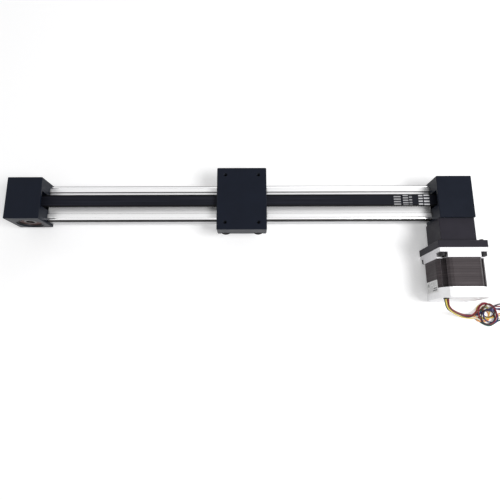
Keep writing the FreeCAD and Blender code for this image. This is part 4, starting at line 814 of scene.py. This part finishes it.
def lead_route(number, place, against_clock, turn_radius, off_middle, end_place):
    """All points of a lead. One that turns with the clock leaves the bundle a point sooner."""
    start = lead_start(place)
    if not against_clock:
        start.pop()
    return start + lead_coil(number, against_clock, turn_radius, off_middle) + lead_end(end_place)


def spline_weights(count):
    """Rows that turn a lead's points into places along its smooth line, a few to each point.

    Each row holds the three weights of a quadratic spline."""
    rows = []
    for index in range(1, count - 1):
        for part in range(PARTS):
            t = (part + 0.5) / PARTS
            row = np.zeros(count)
            row[index - 1:index + 2] = ((1 - t) ** 2 / 2, (1 + 2 * t - 2 * t * t) / 2, t * t / 2)
            rows.append(row)
    return np.array(rows)


def all_lines(counts, starts):
    """The rows of all leads in one table, and which places are too near on one lead to push each other."""
    blocks = [spline_weights(count) for count in counts]
    weights = np.zeros((sum(len(block) for block in blocks), sum(counts)))
    row = 0
    for block, count, start in zip(blocks, counts, starts):
        weights[row:row + len(block), start:start + count] = block
        row += len(block)
    owner = np.concatenate([np.full(len(block), number) for number, block in enumerate(blocks)])
    serial = np.concatenate([np.arange(len(block)) for block in blocks])
    apart = np.abs(serial[:, None] - serial[None])
    return weights, (owner[:, None] == owner[None]) & (apart < MAY_TOUCH_AFTER * PARTS)


def settle(leads):
    """Let the leads lie on each other and on the floor, a diameter apart."""
    counts = [len(points) for points in leads]
    starts = np.cumsum([0] + counts)
    weights, near_self = all_lines(counts, starts)
    weight = np.maximum(weights.sum(0), LEAST_WEIGHT)[:, None]
    free = np.concatenate([np.arange(count) >= ROUTE_FREE for count in counts])
    place = np.array([tuple(point) for points in leads for point in points])
    for _ in range(SETTLE_ROUNDS):
        line = weights @ place
        gap = line[:, None] - line[None]
        far = np.sqrt((gap ** 2).sum(2)) + near_self * OUT_OF_REACH + NEXT_TO_NOTHING
        touching = far < LEAD_THICK
        push = np.where(touching, (LEAD_THICK - far) / far, 0)
        gap[..., :2] *= SIDEWAYS
        moved = (gap * push[..., None]).sum(1) / np.maximum(touching.sum(1), 1)[:, None] * PUSH_SHARE
        place[free] += ((weights.T @ moved) / weight)[free]
        smooth = place.copy()
        for begin, end in zip(starts[:-1], starts[1:]):
            smooth[begin + 1:end - 1] = (place[begin:end - 2] + place[begin + 2:end]) / 2
        place[free] += (smooth - place)[free] * np.array(STRAIGHTEN)
        place[free, 2] -= SINK
        place[:, 2] = np.maximum(place[:, 2], COIL_MIDDLE.z)
    return [[Vector(point) for point in place[begin:end]] for begin, end in zip(starts[:-1], starts[1:])]


def smooth_line(name, points, thick, finish):
    """A round cord through a smooth line with these points, in millimetres."""
    data = bpy.data.curves.new(name, "CURVE")
    data.dimensions = "3D"
    data.bevel_depth = thick / 2 * MM
    data.bevel_resolution = 4
    data.resolution_u = 6
    data.use_fill_caps = True
    spline = data.splines.new("NURBS")
    spline.points.add(len(points) - 1)
    for spot, point in zip(spline.points, points):
        spot.co = (*(point * MM), 1)
    spline.order_u = 3
    spline.use_endpoint_u = True
    data.materials.append(finish)
    return in_scene(name, data)


def add_leads():
    """Eight leads from the motor through their coil to stripped and tinned ends."""
    tinned = plain_metal(*TINNED)
    routes = [lead_route(number, *values) for number, (_, _, *values) in enumerate(LEADS)]
    for (name, colour, *_), points in zip(LEADS, settle(routes)):
        finish = moulded("lead_" + name, colour, LEAD_ROUGH, grain_size=0.15 * MM, depth=0.008 * MM)
        lead = smooth_line("lead_" + name, points, LEAD_THICK, finish)
        onward = (points[-1] - points[-2]).normalized()
        inside, outside = points[-1] - onward, points[-1] + onward * TIP_LENGTH
        tip = smooth_line("lead_tip_" + name, [inside, (inside + outside) / 2, outside], TIP_THICK, tinned)
        for piece in (lead, tip):
            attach(piece, "frame")
        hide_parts("lead_bundle", "lead_coil", "lead_tail")


# Threads in the carriage's holes, in millimetres

# The holes: how far apart they are along and across the rail, and their radius
HOLE_SPACING = (40.0, 60.0)
HOLE_RADIUS = 2.1
# The thread: its pitch, steps to a turn, length, and how far below the carriage's top it begins
THREAD_PITCH = 0.8
THREAD_STEPS = 20
THREAD_LENGTH = 8.0
THREAD_START = 0.7
# The ridge's section: how far each corner stands off the hole's wall, and how far up in pitches
THREAD_SECTION = [(0.04, 0.34), (-0.26, 0.05), (-0.26, -0.05), (0.04, -0.34)]


def add_thread(name, x, y, top, finish):
    """The ridge of a thread that winds down the wall of a hole."""
    steps = round(THREAD_LENGTH / THREAD_PITCH * THREAD_STEPS)
    corners = []
    for step in range(steps + 1):
        angle = 2 * math.pi * step / THREAD_STEPS
        tapered = min(step, steps - step, THREAD_STEPS / 2) / (THREAD_STEPS / 2)
        for off, lift in THREAD_SECTION:
            reach = HOLE_RADIUS + max(off, 0) + min(off, 0) * tapered
            height = top - THREAD_PITCH * step / THREAD_STEPS + lift * THREAD_PITCH
            corners.append(Vector((x + reach * math.cos(angle), y + reach * math.sin(angle), height)) * MM)
    count = len(THREAD_SECTION)
    faces = [tuple(range(count)), tuple(count * steps + side for side in reversed(range(count)))]
    for step in range(steps):
        here, there = count * step, count * (step + 1)
        for side in range(count):
            onward = (side + 1) % count
            faces.append((here + side, there + side, there + onward, here + onward))
    data = bpy.data.meshes.new(name)
    data.from_pydata(corners, [], faces)
    data.materials.append(finish)
    made = in_scene(name, data)
    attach(made, "carriage")


def add_threads(finish):
    """A thread in each of the carriage's four holes."""
    low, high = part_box("carriage_block")
    middle = (low + high) / 2 / MM
    top = high.z / MM - THREAD_START
    for row, side_y in ROWS:
        for end, side_x in ENDS:
            add_thread(f"hole_thread_{row}_{end}", middle.x + side_x * HOLE_SPACING[0] / 2,
                       middle.y + side_y * HOLE_SPACING[1] / 2, top, finish)


# Floor and light, in metres

# The floor: half its side, its colour, and how strongly it glows where it is seen directly
FLOOR_HALF = 4.0
FLOOR_COLOUR = (0.86, 0.86, 0.865, 1)
FLOOR_GLOW = 0.31
WHITE = (1, 1, 1, 1)
# The world's strength as light on the object. The camera and reflections see it at a strength of one.
AMBIENT = 0.43
# Each lamp: name, place, side and power. All look at the rail's middle.
LAMPS = [
    ("main_lamp", (0.84, -0.42, 1.38), 0.6, 16.2),
    ("back_lamp", (0.5, 1.4, 0.9), 0.9, 3.0),
]


def seen_directly(tree):
    """One for rays from the camera, a reflection or a lens, and nought for other light."""
    path = add(tree, "LightPath").outputs
    seen = math_node(tree, "MAXIMUM", path["Is Camera Ray"], path["Is Glossy Ray"])
    return math_node(tree, "MAXIMUM", seen, path["Is Transmission Ray"])


def add_floor():
    """A pale floor that keeps the module's shadow and looks white away from it."""
    data = bpy.data.meshes.new("floor")
    corners = [(-FLOOR_HALF, -FLOOR_HALF, FLOOR * MM), (FLOOR_HALF, -FLOOR_HALF, FLOOR * MM),
               (FLOOR_HALF, FLOOR_HALF, FLOOR * MM), (-FLOOR_HALF, FLOOR_HALF, FLOOR * MM)]
    data.from_pydata(corners, [], [(0, 1, 2, 3)])
    finish, tree, shader = new_finish("pale_floor", roughness=0.8, specular=0.2)
    shader.inputs["Base Color"].default_value = FLOOR_COLOUR
    shader.inputs["Emission Color"].default_value = WHITE
    join(tree, shader, Emission_Strength=times(tree, seen_directly(tree), FLOOR_GLOW))
    data.materials.append(finish)
    in_scene("floor", data)


def add_light():
    """An even white studio with two soft lamps."""
    world = bpy.data.worlds.new("studio")
    world.use_nodes = True
    tree = world.node_tree
    tree.nodes.clear()
    strength = ramp(tree, seen_directly(tree), 0.0, 1.0, AMBIENT, 1.0)
    sky = add(tree, "Background", {"Color": WHITE, "Strength": strength})
    add(tree, "OutputWorld", {"Surface": sky.outputs[0]})
    bpy.context.scene.world = world
    for name, place, side, power in LAMPS:
        data = bpy.data.lights.new(name, "AREA")
        data.size = side
        data.energy = power
        lamp = in_scene(name, data)
        lamp.location = place
        lamp.rotation_euler = (-Vector(place)).to_track_quat("-Z", "Y").to_euler()
    bpy.context.scene.view_settings.view_transform = "Standard"


add_camera()
add_leads()
finishes = make_finishes()
dress_cad(finishes)
add_threads(finishes["black_anodised"])
add_floor()
add_light()
